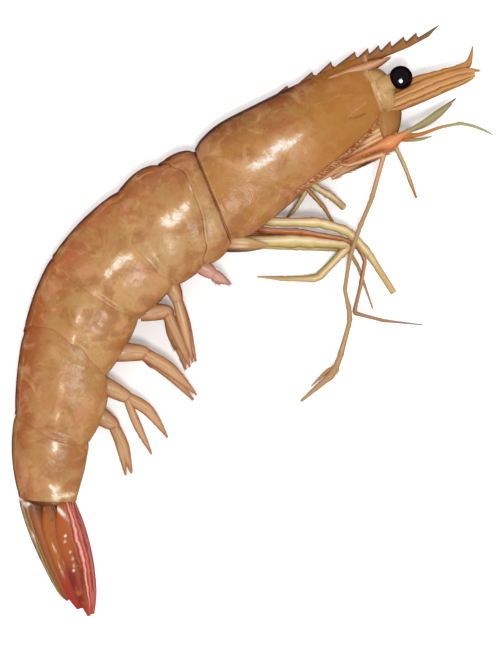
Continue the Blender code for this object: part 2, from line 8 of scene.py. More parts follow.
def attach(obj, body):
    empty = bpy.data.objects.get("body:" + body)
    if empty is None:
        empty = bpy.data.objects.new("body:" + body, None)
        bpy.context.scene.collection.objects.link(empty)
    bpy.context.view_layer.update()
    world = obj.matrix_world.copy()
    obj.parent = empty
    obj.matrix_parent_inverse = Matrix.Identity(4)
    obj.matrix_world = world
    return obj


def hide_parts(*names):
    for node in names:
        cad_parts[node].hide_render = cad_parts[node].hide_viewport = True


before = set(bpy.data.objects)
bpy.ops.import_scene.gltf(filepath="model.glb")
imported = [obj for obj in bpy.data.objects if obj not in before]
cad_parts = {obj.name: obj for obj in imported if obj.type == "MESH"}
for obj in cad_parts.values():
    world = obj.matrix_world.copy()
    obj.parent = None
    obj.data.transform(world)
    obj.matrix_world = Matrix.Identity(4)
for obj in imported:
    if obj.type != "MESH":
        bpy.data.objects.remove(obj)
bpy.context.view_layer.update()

# HEAD SHELL
# The carapace is one hard shield of chitin that covers the head and the gills. It grows as a single
# curved sheet, and its free rear edge is rolled and rides over the first plate of the abdomen.

MM = 0.001
FLESH_GLOW = (1.0, 0.5, 0.3)

# top of the back, lowest belly point, half width and middle height of each slice across the head
HEAD_SLICES = [
    (26.6, 60.2, 30.2, 47.6, 4.7, 8.6),
    (20.2, 58.4, 26.6, 42.2, 6.6, 8.7),
    (10.8, 54.9, 19.6, 35.8, 8.3, 8.9),
    (1.4, 50.7, 10.9, 28.9, 9.1, 9.0),
    (-7.5, 46.1, 1.8, 21.4, 9.4, 9.1),
    (-11.9, 42.4, -2.6, 18.9, 9.3, 9.1),
    (-13.4, 40.0, -4.7, 18.6, 9.1, 9.1),
]
HEAD_END = len(HEAD_SLICES) - 1
HEAD_ROWS = 120
HEAD_SIDES = 144
HEAD_SHAPE = (0.10, 0.03, 0.04)
SHELL_EDGE = 0.20
# millimetres that one step of s is long, behind the front edge and before the rear one
FRONT_STEP = 8.0
REAR_STEP = 2.3

# raised lines and sunk lines on each flank of the head: the line, its width and its height
HEAD_RIDGES = [
    ([(12.4, 49.0), (16.0, 50.2), (20.0, 51.9), (23.0, 52.1)], 0.34, 0.26),
    ([(19.9, 57.0), (23.5, 57.7), (27.1, 58.7)], 0.36, 0.30),
    ([(26.2, 50.4), (24.8, 49.3), (23.3, 48.5)], 0.40, 0.26),
    ([(18.1, 55.7), (18.7, 53.2), (19.2, 51.0)], 0.35, 0.12),
]
HEAD_GROOVES = [
    ([(22.2, 46.5), (24.0, 46.8), (25.9, 47.6)], 0.50, 0.34),
    ([(20.2, 51.2), (21.6, 48.0), (20.9, 44.4), (17.4, 41.2)], 0.9, 0.20),
    ([(26.3, 45.0), (28.4, 46.0), (30.0, 47.2)], 0.4, 0.2),
]
# painted highlights on the crest of the shell, and an ochre spot: x, y, length, width and turn
HEAD_PAINTED_HIGHLIGHTS = [(2.4, 36.8, 6.4, 1.9, 0.50), (8.6, 40.9, 4.6, 1.6, 0.62), (5.4, 39.9, 5.0, 1.9, 0.5)]
HEAD_OCHRE = [(-4.5, 29.4, 8.5, 4.6, -0.36)]
# how high the low crest under the saw stands at each slice
HEAD_CREST = [(1.7,), (1.05,), (0.35,), (0.0,), (0.0,), (0.0,), (0.0,)]


def lerp(a, b, t):
    return a + (b - a) * t


def smooth_step(t):
    t = min(max(t, 0.0), 1.0)
    return t * t * (3 - 2 * t)


def bell(distance, width, power=2):
    """1 at no distance, falling away to nothing at some two widths."""
    return math.exp(-(distance / width) ** power)


def chain_at(rows, s):
    """The values at s on the smooth curve that passes through all the rows."""
    s = min(max(s, 0.0), len(rows) - 1.0)
    i = min(int(s), len(rows) - 2)
    t = s - i
    four = rows[max(i - 1, 0)], rows[i], rows[i + 1], rows[min(i + 2, len(rows) - 1)]
    return [
        q + t * (r - p + t * (2 * p - 5 * q + 4 * r - u + t * (3 * q - 3 * r + u - p))) / 2
        for p, q, r, u in zip(*four)
    ]


def trunk_point(row, turn, shape, inset):
    """A point of the trunk: turn runs from 0 at the back through 0.25 on the right flank."""
    groove, keel, fullness = shape
    angle = 2 * math.pi * turn
    up, out = math.cos(angle), math.sin(angle)
    low = smooth_step((0.25 - up) / 0.9)
    rise = math.copysign(abs(up) ** lerp(0.94, 0.72, low), up)
    side = math.copysign(abs(out) ** lerp(0.90, 0.80, low), out)
    if rise > 0:
        rise *= 1 - keel * smooth_step(abs(side) / 0.35)
    else:
        rise *= (1 - groove * (1 - smooth_step(abs(side) / 0.6))) * (1 + 0.55 * groove)
    side *= 1 - fullness * up
    back, belly = Vector(row[0:2]), Vector(row[2:4])
    spot = (back + belly) / 2
    spot += (back - belly).normalized() * rise * max((back - belly).length / 2 - inset, 0.1)
    return Vector((spot.x, spot.y, max(row[5] + side * max(row[4] - inset, 0.1), 0.0)))


def outward_at(row, point):
    """The way from the middle of a slice of the trunk to a point on it."""
    return (point - Vector(((row[0] + row[2]) / 2, (row[1] + row[3]) / 2, row[5]))).normalized()


def line_mark(x, y, line, width):
    """1 on a line of points in the table plane, and less away from it."""
    nearest = 1e9
    for (ax, ay), (bx, by) in zip(line, line[1:]):
        dx, dy = bx - ax, by - ay
        t = min(max(((x - ax) * dx + (y - ay) * dy) / (dx * dx + dy * dy), 0.0), 1.0)
        nearest = min(nearest, math.hypot(x - ax - t * dx, y - ay - t * dy))
    return bell(nearest, width)


def spot_mark(x, y, spots, halo=0.0):
    """1 in the middle of an oval spot, a faint halo round it; a spot is x, y, length, width, turn."""
    best = 0.0
    for cx, cy, long, wide, turn in spots:
        dx, dy = x - cx, y - cy
        along = dx * math.cos(turn) + dy * math.sin(turn)
        across = dy * math.cos(turn) - dx * math.sin(turn)
        away = (along / long) ** 2 + (across / wide) ** 2
        best = max(best, math.exp(-away), halo * math.exp(-away / 4))
    return best


def skin(name, grid, marks=None):
    """A closed mesh over rows of points, each row a closed ring, with named values on its points."""
    work = bmesh.new()
    seams = work.loops.layers.uv.new("skin")
    rows = [[work.verts.new(point * MM) for point in ring] for ring in grid]
    count, last = len(grid[0]), len(grid) - 1
    for r in range(last):
        for i in range(count):
            j = (i + 1) % count
            face = work.faces.new((rows[r][i], rows[r][j], rows[r + 1][j], rows[r + 1][i]))
            places = ((r, i), (r, i + 1), (r + 1, i + 1), (r + 1, i))
            for loop, (along, turn) in zip(face.loops, places):
                loop[seams].uv = (along / last, turn / count)
    for r in (0, last):
        hub = work.verts.new(sum(grid[r], Vector()) / count * MM)
        for i in range(count):
            face = work.faces.new((rows[r][i], hub, rows[r][(i + 1) % count]))
            for loop, turn in zip(face.loops, (i, i + 0.5, i + 1)):
                loop[seams].uv = (r / last, turn / count)
    bmesh.ops.recalc_face_normals(work, faces=work.faces)
    mesh = bpy.data.meshes.new(name)
    work.to_mesh(mesh)
    work.free()
    mesh.shade_smooth()
    for mark, values in (marks or {}).items():
        flat = [value for ring in values for value in ring]
        flat += [sum(values[r]) / count for r in (0, last)]
        mesh.attributes.new(mark, "FLOAT", "POINT").data.foreach_set("value", flat)
    piece = bpy.data.objects.new(name, mesh)
    bpy.context.scene.collection.objects.link(piece)
    return piece


def linear(code):
    """A colour written as sRGB hex, as the linear values that a shader takes."""
    parts = [int(code[i:i + 2], 16) / 255 for i in (1, 3, 5)]
    return (*[p / 12.92 if p <= 0.04045 else ((p + 0.055) / 1.055) ** 2.4 for p in parts], 1.0)


def plug(tree, node, sockets):
    """Links sockets of a node to other nodes, or sets them to constants."""
    for name, value in sockets.items():
        if isinstance(name, int):
            socket = node.inputs[name]
        else:
            socket = next(s for s in node.inputs if s.enabled and s.name == name)
        if isinstance(value, bpy.types.Node):
            value = next(s for s in value.outputs if s.enabled)
        if isinstance(value, bpy.types.NodeSocket):
            tree.links.new(value, socket)
        else:
            socket.default_value = value


def add(tree, kind, settings=None, sockets=None, stops=None):
    """Adds a node with its settings, what its sockets are linked or set to, and a ramp's stops."""
    node = tree.nodes.new(kind)
    for name, value in (settings or {}).items():
        setattr(node, name, value)
    plug(tree, node, sockets or {})
    for i, (place, code) in enumerate(stops or []):
        ramp = node.color_ramp.elements
        stop = ramp[i] if i < 2 else ramp.new(place)
        stop.position = place
        stop.color = linear(code)
    return node


def new_material(name):
    """A material with its node tree, its shader and the place on the piece that its patterns read."""
    material = bpy.data.materials.new(name)
    material.use_nodes = True
    tree = material.node_tree
    return material, tree, tree.nodes["Principled BSDF"], add(tree, "ShaderNodeTexCoord").outputs["Object"]


def tint(tree, colour, code, value, low, high, most=1.0):
    """The colour, and a flat one laid over it where the value has climbed from low to high."""
    amount = add(tree, "ShaderNodeMapRange", {"interpolation_type": "SMOOTHSTEP"}, {
        "Value": value, "From Min": low, "From Max": high, "To Max": most})
    return add(tree, "ShaderNodeMix", {"data_type": "RGBA"}, {
        "Factor": amount, "A": colour, "B": linear(code)})


def moist_shell(name, across, dark, pale, painted_highlight):
    """Raw prawn shell: chitin moulded by the animal, thin enough that the flesh glows through, wet.

    The eye sees ochre clouded with pink and olive, a darker back that is partly painted shade,
    painted highlights on the crest, painted shade in grooves and under edges, and a clear wet gloss.
    """
    material, tree, shader, place = new_material(name)
    # pigment clouds lie some 6 mm apart
    cloud = add(tree, "ShaderNodeTexNoise", None, {
        "Vector": place, "Scale": 170.0, "Detail": 5.0, "Roughness": 0.62, "Distortion": 0.5})
    back = add(tree, "ShaderNodeAttribute", {"attribute_name": "back"}).outputs["Fac"]
    wander = add(tree, "ShaderNodeMath", {"operation": "MULTIPLY_ADD"}, {0: cloud, 1: 0.26, 2: -0.13})
    wander = add(tree, "ShaderNodeMath", {"operation": "ADD"}, {0: wander, 1: back})
    # the ramp runs from the belly to the back and darkens toward the back edge: partly the shell's darker
    # back, partly painted shade where the body turns away near the outline
    colour = add(tree, "ShaderNodeValToRGB", None, {"Fac": wander}, across)
    for code, shift, scale, low, high, most in (
        ("#9f6d4d", (0.11, 0.02, 0.0), 120.0, 0.48, 0.66, 0.60),
        ("#856832", (0.31, 0.12, 0.0), 170.0, 0.49, 0.66, 0.50),
        ("#78400f", (0.51, 0.32, 0.0), 130.0, 0.48, 0.62, 0.58),
        ("#a78556", (0.71, 0.52, 0.0), 210.0, 0.51, 0.71, 0.45),
    ):
        moved = add(tree, "ShaderNodeMapping", None, {"Vector": place, "Location": shift})
        patch = add(tree, "ShaderNodeTexNoise", None, {
            "Vector": moved, "Scale": scale, "Detail": 4.0, "Roughness": 0.6, "Distortion": 0.8})
        colour = tint(tree, colour, code, patch, low, high, most)
    # pigment cells are 0.1 mm across, drawn at 0.7 mm so that they show
    cells = add(tree, "ShaderNodeTexNoise", None, {
        "Vector": place, "Scale": 1400.0, "Detail": 2.0, "Roughness": 0.6})
    colour = tint(tree, colour, "#723919", cells, 0.55, 0.76, 0.38)
    # what the points carry, with edges that fray some 1.6 mm apart
    ragged = add(tree, "ShaderNodeTexNoise", None, {
        "Vector": place, "Scale": 620.0, "Detail": 4.0, "Roughness": 0.60, "Distortion": 0.9})
    # ochre and rust are the shell's own colour; pale and dark are partly its own colour and partly painted
    # highlight and painted shade; the last two marks lay a pale halo and a near-white core of painted
    # highlight
    for mark, code, low, high, most, rough in (
        ("ochre", "#87530a", 0.0, 1.0, 0.75, 0.9), ("rust", "#8d3a0a", 0.20, 0.80, 0.85, 0.9),
        ("pale", pale, 0.30, 0.80, 0.70, 0.9), ("dark", dark, 0.25, 0.85, 0.85, 0.9),
        ("painted_highlight", pale, 0.05, 0.90, 0.75, 1.0), ("painted_highlight", painted_highlight, 0.52, 1.10, 0.92, 1.8),
    ):
        value = add(tree, "ShaderNodeAttribute", {"attribute_name": mark}).outputs["Fac"]
        worn = add(tree, "ShaderNodeMath", {"operation": "MULTIPLY_ADD"}, {
            0: ragged, 1: rough, 2: -rough / 2})
        worn = add(tree, "ShaderNodeMath", {"operation": "MULTIPLY_ADD"}, {0: worn, 1: value, 2: value})
        colour = tint(tree, colour, code, worn, low, high, most)
    soft = add(tree, "ShaderNodeBump", None, {"Strength": 0.20, "Distance": 0.0005, "Height": ragged})
    fine = add(tree, "ShaderNodeBump", None, {
        "Strength": 0.25, "Distance": 0.0001, "Height": cells, "Normal": soft})
    gloss = add(tree, "ShaderNodeMapRange", None, {
        "Value": ragged, "From Min": 0.3, "From Max": 0.7, "To Min": 0.30, "To Max": 0.50})
    plug(tree, shader, {
        "Base Color": colour, "Roughness": gloss, "IOR": 1.25,
        "Subsurface Weight": 0.15, "Subsurface Radius": FLESH_GLOW, "Subsurface Scale": 0.0010,
        "Coat Weight": 0.32, "Coat Roughness": 0.24, "Coat IOR": 1.40, "Coat Normal": soft, "Normal": fine})
    return material


def finish_piece(piece, material, slot, *nodes):
    """Gives a piece its material, ties it to the prawn's body and hides the solids that it stands for."""
    piece.data.materials.clear()
    piece.data.materials.append(material)
    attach(piece, "root")
    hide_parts(*nodes)
    return piece


def toward_rear(i, count):
    """Row i of count as a share of the way back; the rows stand closer near the rear edge."""
    return 1 - (1 - i / count) ** 1.25


def by_mark(rows):
    """Rows that hold one dict of marks per point, turned into one grid of values per mark."""
    return {mark: [[marks[mark] for marks in row] for row in rows] for mark in rows[0][0]}


# how far back each row lies and how far in; the first turn in round the eye socket, and the last
# roll under at the free rear edge
head_rows = [(0.34, 3.4), (0.30, 2.4), (0.22, 1.5), (0.12, 0.9), (0.04, 0.50), (-0.02, 0.22), (-0.02, 0.07)]
head_front = len(head_rows)
head_rows += [(HEAD_END * toward_rear(i, HEAD_ROWS), 0.0) for i in range(HEAD_ROWS)]
head_rows += [
    (5.99, 0.0), (6.03, 0.05), (6.05, 0.16), (6.04, 0.28), (6.0, SHELL_EDGE), (5.7, 0.5), (5.4, 1.2)]
head_grid, head_marks = [], []
for index, (s, inset) in enumerate(head_rows):
    row = chain_at(HEAD_SLICES, s)
    if s > HEAD_END:
        # past the last slice the trunk goes on the way that it was going
        before, end = HEAD_SLICES[-2:]
        step = Vector(end[0:4]) - Vector(before[0:4])
        row = [*(Vector(end[0:4]) + step * (s - HEAD_END) * 2.2), *end[4:]]
    upward = (Vector(row[0:2]) - Vector(row[2:4])).normalized().to_3d()
    front, rear = s * FRONT_STEP, (HEAD_END - s) * REAR_STEP
    bead = 0.05 * bell(rear - 0.35, 0.35) - 0.05 * bell(rear - 1.25, 0.35)
    lip = 0.16 * bell(front - 0.3, 0.5) - 0.12 * bell(front - 1.7, 0.6)
    ring, marks = [], []
    for i in range(HEAD_SIDES):
        turn = i / HEAD_SIDES
        fold = min(turn, 1 - turn)
        notch = 0.20 * bell(fold - 0.15, 0.055) * max(1 - s, 0.0) if s < 1 else 0.0
        point = trunk_point(chain_at(HEAD_SLICES, s + notch) if notch else row, turn, HEAD_SHAPE, inset)
        outward = outward_at(row, point)
        flank = abs(math.sin(2 * math.pi * turn)) ** 0.5
        ridge = max(line_mark(point.x, point.y, line, wide) * tall for line, wide, tall in HEAD_RIDGES)
        groove = max(line_mark(point.x, point.y, line, wide) * deep for line, wide, deep in HEAD_GROOVES)
        hem = 0.16 * bell(abs(turn - 0.5) - 0.125, 0.012)
        wave = 0.10 * noise.noise(point * 0.28) + 0.05 * noise.noise(point * 0.75 + Vector((9, 0, 0)))
        on_top = 1.0 if inset < 0.1 else 0.0
        point += outward * on_top * (flank * (ridge - groove + wave) + bead + lip + hem)
        point += upward * chain_at(HEAD_CREST, s)[0] * bell(fold, 0.040) * (1.0 if inset < 0.3 else 0.0)
        point.z = max(point.z, 0.0)
        ring.append(point)
        under = bell(abs(turn - 0.5) - 0.115, 0.02) * smooth_step((point.x + 2) / 22)
        # dark is painted shade in the grooves, in the groove before the rear rim and under the lower edge,
        # and a darker line along the back; pale is a painted highlight on the ridges and on the rolled rear
        # rim, and the shell's own paler colour at the front edge; the white spots are painted highlights
        marks.append({
            "back": abs(turn - 0.5) * 2,
            "dark": max(
                flank * groove * 1.8, 0.20 * bell(rear - 1.15, 0.28), 0.3 * under,
                bell(fold, 0.050 + 0.010 * noise.noise(point * 0.5), 4) * smooth_step((16 - point.x) / 10)),
            "pale": max(
                flank * ridge * 2.2, 0.6 * bell(rear - 0.30, 0.30),
                0.7 * bell(max(front, 0.0), 2.6 + 1.6 * noise.noise(point * 0.6)),
                1.0 if index < head_front - 1 else 0.0),
            "painted_highlight": spot_mark(point.x, point.y, HEAD_PAINTED_HIGHLIGHTS, 0.42) if 0 < turn < 0.5 else 0.0,
            "rust": 0.8 * bell(abs(turn - 0.5) - 0.105, 0.016) * smooth_step((point.x - 4) / 12),
            "ochre": max(
                0.9 * smooth_step((point.x - 4) / 18) * smooth_step((0.44 - fold) / 0.1),
                spot_mark(point.x, point.y, HEAD_OCHRE)),
        })
    head_grid.append(ring)
    head_marks.append(marks)
carapace = skin("head_shield", head_grid, by_mark(head_marks))

head_skin = moist_shell(
    "raw shell of the head",
    [(0.0, "#95734f"), (0.18, "#884f25"), (0.27, "#8d5d2d"), (0.42, "#90652f"), (0.56, "#8e6029"),
     (0.68, "#835220"), (0.78, "#744112"), (0.88, "#6a3512"), (0.95, "#5d270a"), (1.0, "#2d0a0a")],
    "#330a0a", "#a9855f", "#c5beb6")
finish_piece(carapace, head_skin, "carapace", "carapace")

# ROSTRUM
# The saw on the front of the head is one blade of solid chitin, grown out of the shield. Its teeth
# are dark at their tips, and a short spine stands over each eye socket beside it.

# the tip of each tooth, and the notch in front of it
ROSTRUM_TEETH = [
    (7.9, 54.7), (13.7, 57.9), (18.1, 60.3), (23.7, 62.6), (26.7, 63.4),
    (29.2, 64.1), (31.9, 65.1), (35.0, 66.1), (37.9, 67.0),
]
TOOTH_ROOTS = [
    (9.0, 53.9), (14.6, 57.0), (19.0, 59.0), (24.3, 61.2), (27.1, 62.1),
    (29.8, 62.9), (32.3, 63.8), (35.7, 65.0), (38.5, 65.9),
]
ROSTRUM_UNDER = [
    (1.0, 46.5), (12.0, 50.0), (22.0, 54.0), (27.1, 59.9), (31.8, 61.7), (36.4, 63.6), (40.8, 66.0)]
ROSTRUM_TIP = (43.6, 69.1)
SAW_STEPS = 420
SAW_HALF_WIDTH = 0.78
# the middle of the head lies this high, and what is paired stands beside it
HEAD_MIDDLE = 8.6
BOTH_SIDES = (("right", 1), ("left", -1))
# share of the way from the top to the underside, and share of the half width there
SAW_PROFILE = [
    (0.0, 0.02), (0.05, 0.22), (0.14, 0.42), (0.30, 0.60), (0.45, 0.82), (0.52, 0.98), (0.60, 0.86),
    (0.72, 0.70), (0.86, 0.62), (0.95, 0.40), (1.0, 0.03),
]


def along_line(line, x):
    """The height of a line of points at x, by straight steps."""
    for (ax, ay), (bx, by) in zip(line, line[1:]):
        if x <= bx:
            return lerp(ay, by, max((x - ax) / (bx - ax), 0.0))
    return line[-1][1]


saw_top = [(2.0, 49.9)]
for tip, root in zip(ROSTRUM_TEETH, TOOTH_ROOTS):
    saw_top += [tip, (lerp(tip[0], root[0], 0.35), lerp(tip[1], root[1], 0.8)), root]
saw_top.append(ROSTRUM_TIP)
saw_under = [*ROSTRUM_UNDER, ROSTRUM_TIP]
saw_grid = []
saw_marks = {"along": [], "across": []}
for step in range(SAW_STEPS + 1):
    x = lerp(2.2, 43.5, step / SAW_STEPS)
    top, under = along_line(saw_top, x), along_line(saw_under, x)
    slim = lerp(1.0, 0.35, smooth_step((x - 30) / 14))
    ring = []
    for side, profile in ((1, SAW_PROFILE), (-1, SAW_PROFILE[-2:0:-1])):
        for share, thick in profile:
            height = HEAD_MIDDLE + side * thick * SAW_HALF_WIDTH * slim
            ring.append(Vector((x, lerp(top, under, share), height)))
    saw_grid.append(ring)
    saw_marks["along"].append([step / SAW_STEPS] * len(ring))
    saw_marks["across"].append([max(1 - (top - point.y) / 1.3, -1.0) for point in ring])
saw = skin("rostrum", saw_grid, saw_marks)


def streaked_shell(name, across, tip, tip_range, streak, streak_range, fine=7.0, gloss=(0.30, 0.48),
                   coat=0.28, tail=None, blot="#3b0f0a"):
    """Shell of a limb or blade: chitin drawn out lengthwise as it grows, with pigment in long streaks.

    The eye sees colour that changes from edge to edge, thin streaks along the limb and a wet gloss.
    """
    material, tree, shader, place = new_material(name)
    along = add(tree, "ShaderNodeAttribute", {"attribute_name": "along"}).outputs["Fac"]
    side = add(tree, "ShaderNodeAttribute", {"attribute_name": "across"}).outputs["Fac"]
    # mottling some 3 mm apart
    cloud = add(tree, "ShaderNodeTexNoise", None, {
        "Vector": place, "Scale": 340.0, "Detail": 4.0, "Roughness": 0.6, "Distortion": 0.6})
    across_at = add(tree, "ShaderNodeMath", {"operation": "MULTIPLY_ADD"}, {0: side, 1: 0.5, 2: 0.38})
    across_at = add(tree, "ShaderNodeMath", {"operation": "MULTIPLY_ADD"}, {0: cloud, 1: 0.24, 2: across_at})
    colour = add(tree, "ShaderNodeValToRGB", None, {"Fac": across_at}, across)
    drawn = add(tree, "ShaderNodeCombineXYZ", None, {"X": along, "Y": side})
    drawn = add(tree, "ShaderNodeMapping", None, {"Vector": drawn, "Scale": (1.6, fine, 1.0)})
    lines = add(tree, "ShaderNodeTexNoise", None, {
        "Vector": drawn, "Scale": 1.0, "Detail": 3.0, "Roughness": 0.6, "Distortion": 0.15})
    colour = tint(tree, colour, streak, lines, *streak_range)
    reach = add(tree, "ShaderNodeMath", {"operation": "MULTIPLY_ADD"}, {0: cloud, 1: 0.16, 2: along})
    colour = tint(tree, colour, tip, reach, tip_range[0] + 0.08, tip_range[1] + 0.08, tip_range[2])
    # stains darken the shell with its own pigment; the white marks are painted highlights
    for mark, code, low, high in (("stain", blot, 0.36, 0.50), ("painted_highlight", "#c6baae", 0.3, 0.55)):
        value = add(tree, "ShaderNodeAttribute", {"attribute_name": mark}).outputs["Fac"]
        broken = add(tree, "ShaderNodeMapRange", None, {"Value": cloud, "From Min": low, "From Max": high})
        amount = add(tree, "ShaderNodeMath", {"operation": "MULTIPLY"}, {0: value, 1: broken})
        colour = add(tree, "ShaderNodeMix", {"data_type": "RGBA"}, {
            "Factor": amount, "A": colour, "B": linear(code)})
    if tail:
        colour = tint(tree, colour, tail[0], along, tail[1], tail[2])
    # the grain of the shell is finer than a hair, drawn at 0.7 mm so that it shows
    grain = add(tree, "ShaderNodeTexNoise", None, {"Vector": place, "Scale": 1500.0, "Detail": 3.0})
    bump = add(tree, "ShaderNodeBump", None, {"Strength": 0.3, "Distance": 0.0002, "Height": lines})
    bump = add(tree, "ShaderNodeBump", None, {
        "Strength": 0.25, "Distance": 0.0001, "Height": grain, "Normal": bump})
    dullness = add(tree, "ShaderNodeMapRange", None, {
        "Value": cloud, "From Min": 0.3, "From Max": 0.7, "To Min": gloss[0], "To Max": gloss[1]})
    plug(tree, shader, {
        "Base Color": colour, "Roughness": dullness, "IOR": 1.25,
        "Subsurface Weight": 0.10, "Subsurface Radius": FLESH_GLOW, "Subsurface Scale": 0.0006,
        "Coat Weight": coat, "Coat Roughness": 0.22, "Coat IOR": 1.40, "Normal": bump})
    return material


saw_shell = streaked_shell(
    "raw shell of the rostrum",
    [(0.0, "#825424"), (0.30, "#7b4d1e"), (0.50, "#82522a"), (0.66, "#77491e"), (0.80, "#6b3e18"),
     (0.93, "#3f2418"), (1.0, "#211f18")],
    "#5e4d2c", (0.84, 0.99, 0.80), "#693618", (0.52, 0.75, 0.5), fine=3.0)
finish_piece(saw, saw_shell, "carapace", "carapace")

SOCKET_SPINE = [
    (17.5, 56.0, 3.2, 0.5, 0.5), (21.5, 57.2, 3.2, 1.0, 0.6), (26.0, 58.7, 3.2, 1.15, 0.55),
    (29.5, 60.0, 3.2, 0.7, 0.45), (32.0, 61.2, 3.2, 0.06, 0.10),
]


def streak_marks(steps, sides):
    """How far along and how far across each point of a limb lies, for the streaks to follow."""
    return {
        "along": [[step / steps] * sides for step in range(steps + 1)],
        "across": [[math.cos(2 * math.pi * i / sides) for i in range(sides)]] * (steps + 1),
    }


def row_frame(rows, place):
    """The row at a place on the smooth line, the way ahead there and the way across, level."""
    ahead = Vector(chain_at(rows, place + 0.02)[0:3]) - Vector(chain_at(rows, place - 0.02)[0:3])
    return chain_at(rows, place), ahead, Vector((0, 0, 1)).cross(ahead).normalized()


def leaf(name, rows, relief, steps=90, sides=64, spots=(), stains=()):
    """A flat limb: a thin oval section carried along a smooth line that lies near the table plane.

    A row is x, y, height, half width and half thickness; relief gives the height of ribs on both
    faces from how far along and how far across a point lies. Spots are painted highlights laid on
    it as white marks, and stains are dark ones.
    """
    grid = []
    for step in range(steps + 1):
        along = step / steps
        row, ahead, across = row_frame(rows, along * (len(rows) - 1))
        through = ahead.cross(across).normalized()
        ring = []
        for i in range(sides):
            angle = 2 * math.pi * i / sides
            face = math.sin(angle)
            lift = row[4] * face
            lift += relief(along, math.cos(angle)) * math.copysign(min(abs(face) * 2, 1.0), face)
            ring.append(Vector(row[0:3]) + across * math.cos(angle) * row[3] + through * lift)
        grid.append(ring)
    return skin(name, grid, {
        **streak_marks(steps, sides),
        "painted_highlight": [[min(1.0, 1.6 * spot_mark(p.x, p.y, spots)) for p in ring] for ring in grid],
        "stain": [[spot_mark(p.x, p.y, stains) for p in ring] for ring in grid],
    })


def beside(rows, side, middle=HEAD_MIDDLE):
    """Rows whose third number is how far they stand to the side of the middle."""
    return [(x, y, middle + side * aside, *rest) for x, y, aside, *rest in rows]


def spine_rib(along, across):
    return 0.12 * bell(across, 0.4) * (1 - along)


spine_shell = streaked_shell(
    "raw shell of the socket spines",
    [(0.0, "#7e4b29"), (0.3, "#996948"), (0.55, "#a98060"), (0.8, "#925d39"), (1.0, "#6e4120")],
    "#674420", (0.80, 1.0, 0.6), "#784825", (0.50, 0.72, 0.6), fine=3.0)
for side_name, side in BOTH_SIDES:
    spine = leaf(f"socket_spine_{side_name}", beside(SOCKET_SPINE, side), spine_rib, steps=60, sides=28)
    finish_piece(spine, spine_shell, "carapace", "carapace")

# ABDOMEN
# Six overlapping plates of thin shell, one on each ring of the tail's flesh. Each is free at its
# rear, rides over the one behind, and hangs down in a rounded flap on either side.

# as for the head, at the front edge, the middle and the rear edge of each plate
PLATE_ENDS = [
    (-13.7, 39.4, -4.9, 17.8, 9.0, 8.9), (-22.0, 36.4, -10.9, 13.3, 9.1, 8.8),
    (-31.1, 30.4, -18.3, 8.4, 9.1, 8.8), (-46.6, 15.1, -26.7, 0.5, 8.6, 8.3),
    (-54.0, -5.5, -34.1, -12.3, 7.7, 7.4), (-55.4, -21.6, -38.3, -28.1, 6.4, 6.2),
    (-54.5, -41.0, -41.4, -42.0, 4.9, 5.1),
]
PLATE_MIDDLES = [
    (-17.5, 39.1, -7.9, 14.8, 9.1, 8.8), (-26.8, 34.7, -15.0, 10.1, 9.3, 8.9),
    (-39.4, 23.7, -22.9, 3.8, 9.1, 8.7), (-50.9, 6.1, -30.2, -6.4, 8.4, 8.0),
    (-55.0, -13.7, -34.6, -20.2, 7.3, 7.0), (-56.1, -31.1, -39.6, -34.6, 5.9, 5.8),
]
PLATE_SLICES = list(zip(PLATE_ENDS, PLATE_MIDDLES, PLATE_ENDS[1:]))
PLATE_SHAPE = (0.17, 0.03, 0.10)
PLATE_ROWS = 64
PLATE_SIDES = 120

# how far each free rear edge is drawn back or forward, in plate lengths, from the back to the belly
EDGE_BOWS = [
    [(0.0, 0.0), (0.08, -0.22), (0.16, -0.50), (0.26, -0.50), (0.34, -0.30), (0.40, 0.0)],
    [(0.0, 0.0), (0.12, 0.05), (0.19, 0.18), (0.26, 0.18), (0.32, 0.12), (0.40, 0.0)],
    [(0.0, 0.0), (0.20, 0.10), (0.30, 0.08), (0.40, 0.0)],
    [(0.0, -0.12), (0.10, -0.22), (0.20, -0.28), (0.27, -0.22), (0.35, -0.08), (0.40, 0.0)],
    [(0.0, 0.0), (0.15, 0.05), (0.28, 0.15), (0.34, 0.12), (0.40, 0.0)],
    [(0.0, 0.0), (0.20, 0.02), (0.40, 0.0)],
]
# how strong the painted shadow is where each plate comes out from under the one ahead, and the
# painted highlight on the rolled rim of the plate ahead
EDGE_SHADOW_AND_HIGHLIGHT = [1.0, 0.85, 0.45, 0.25, 0.25, 0.35]
# each plate's ochre on the flank and the warmer one toward the back
PLATE_OCHRES = [
    ("#926e46", "#834b22"), ("#947142", "#854b1e"), ("#9a7346", "#8a4b20"),
    ("#966f3f", "#854412"), ("#8a602f", "#7f3f10"), ("#8d6337", "#7d4012"),
]
# painted highlights on the crest of each plate, each as x, y, length, width and turn
PLATE_PAINTED_HIGHLIGHTS = [
    [(-10.2, 34.0, 1.6, 0.5, 2.2)],
    [(-17.8, 23.7, 4.4, 2.5, 0.8), (-15.8, 26.0, 2.6, 1.6, 0.9), (-20.0, 23.5, 2.9, 2.0, 0.9),
     (-14.2, 30.4, 2.0, 0.4, 2.0)],
    [(-30.9, 13.5, 3.6, 1.9, 0.8), (-33.2, 10.9, 1.8, 1.2, 1.2), (-28.8, 14.7, 2.3, 1.3, 0.3),
     (-37.1, 5.1, 2.4, 1.1, 1.0)],
    [(-39.9, 0.3, 2.2, 0.8, 1.2), (-41.3, -3.8, 2.2, 0.6, 1.4)],
    [(-44.1, -15.5, 2.8, 0.7, 1.5), (-45.2, -21.3, 2.4, 0.5, 1.5)],
    [(-45.8, -29.0, 2.4, 1.3, 1.3), (-45.5, -39.9, 2.9, 1.5, 1.4), (-43.7, -40.4, 3.0, 1.0, 0.1),
     (-46.4, -38.8, 1.8, 0.8, 2.2)],
]


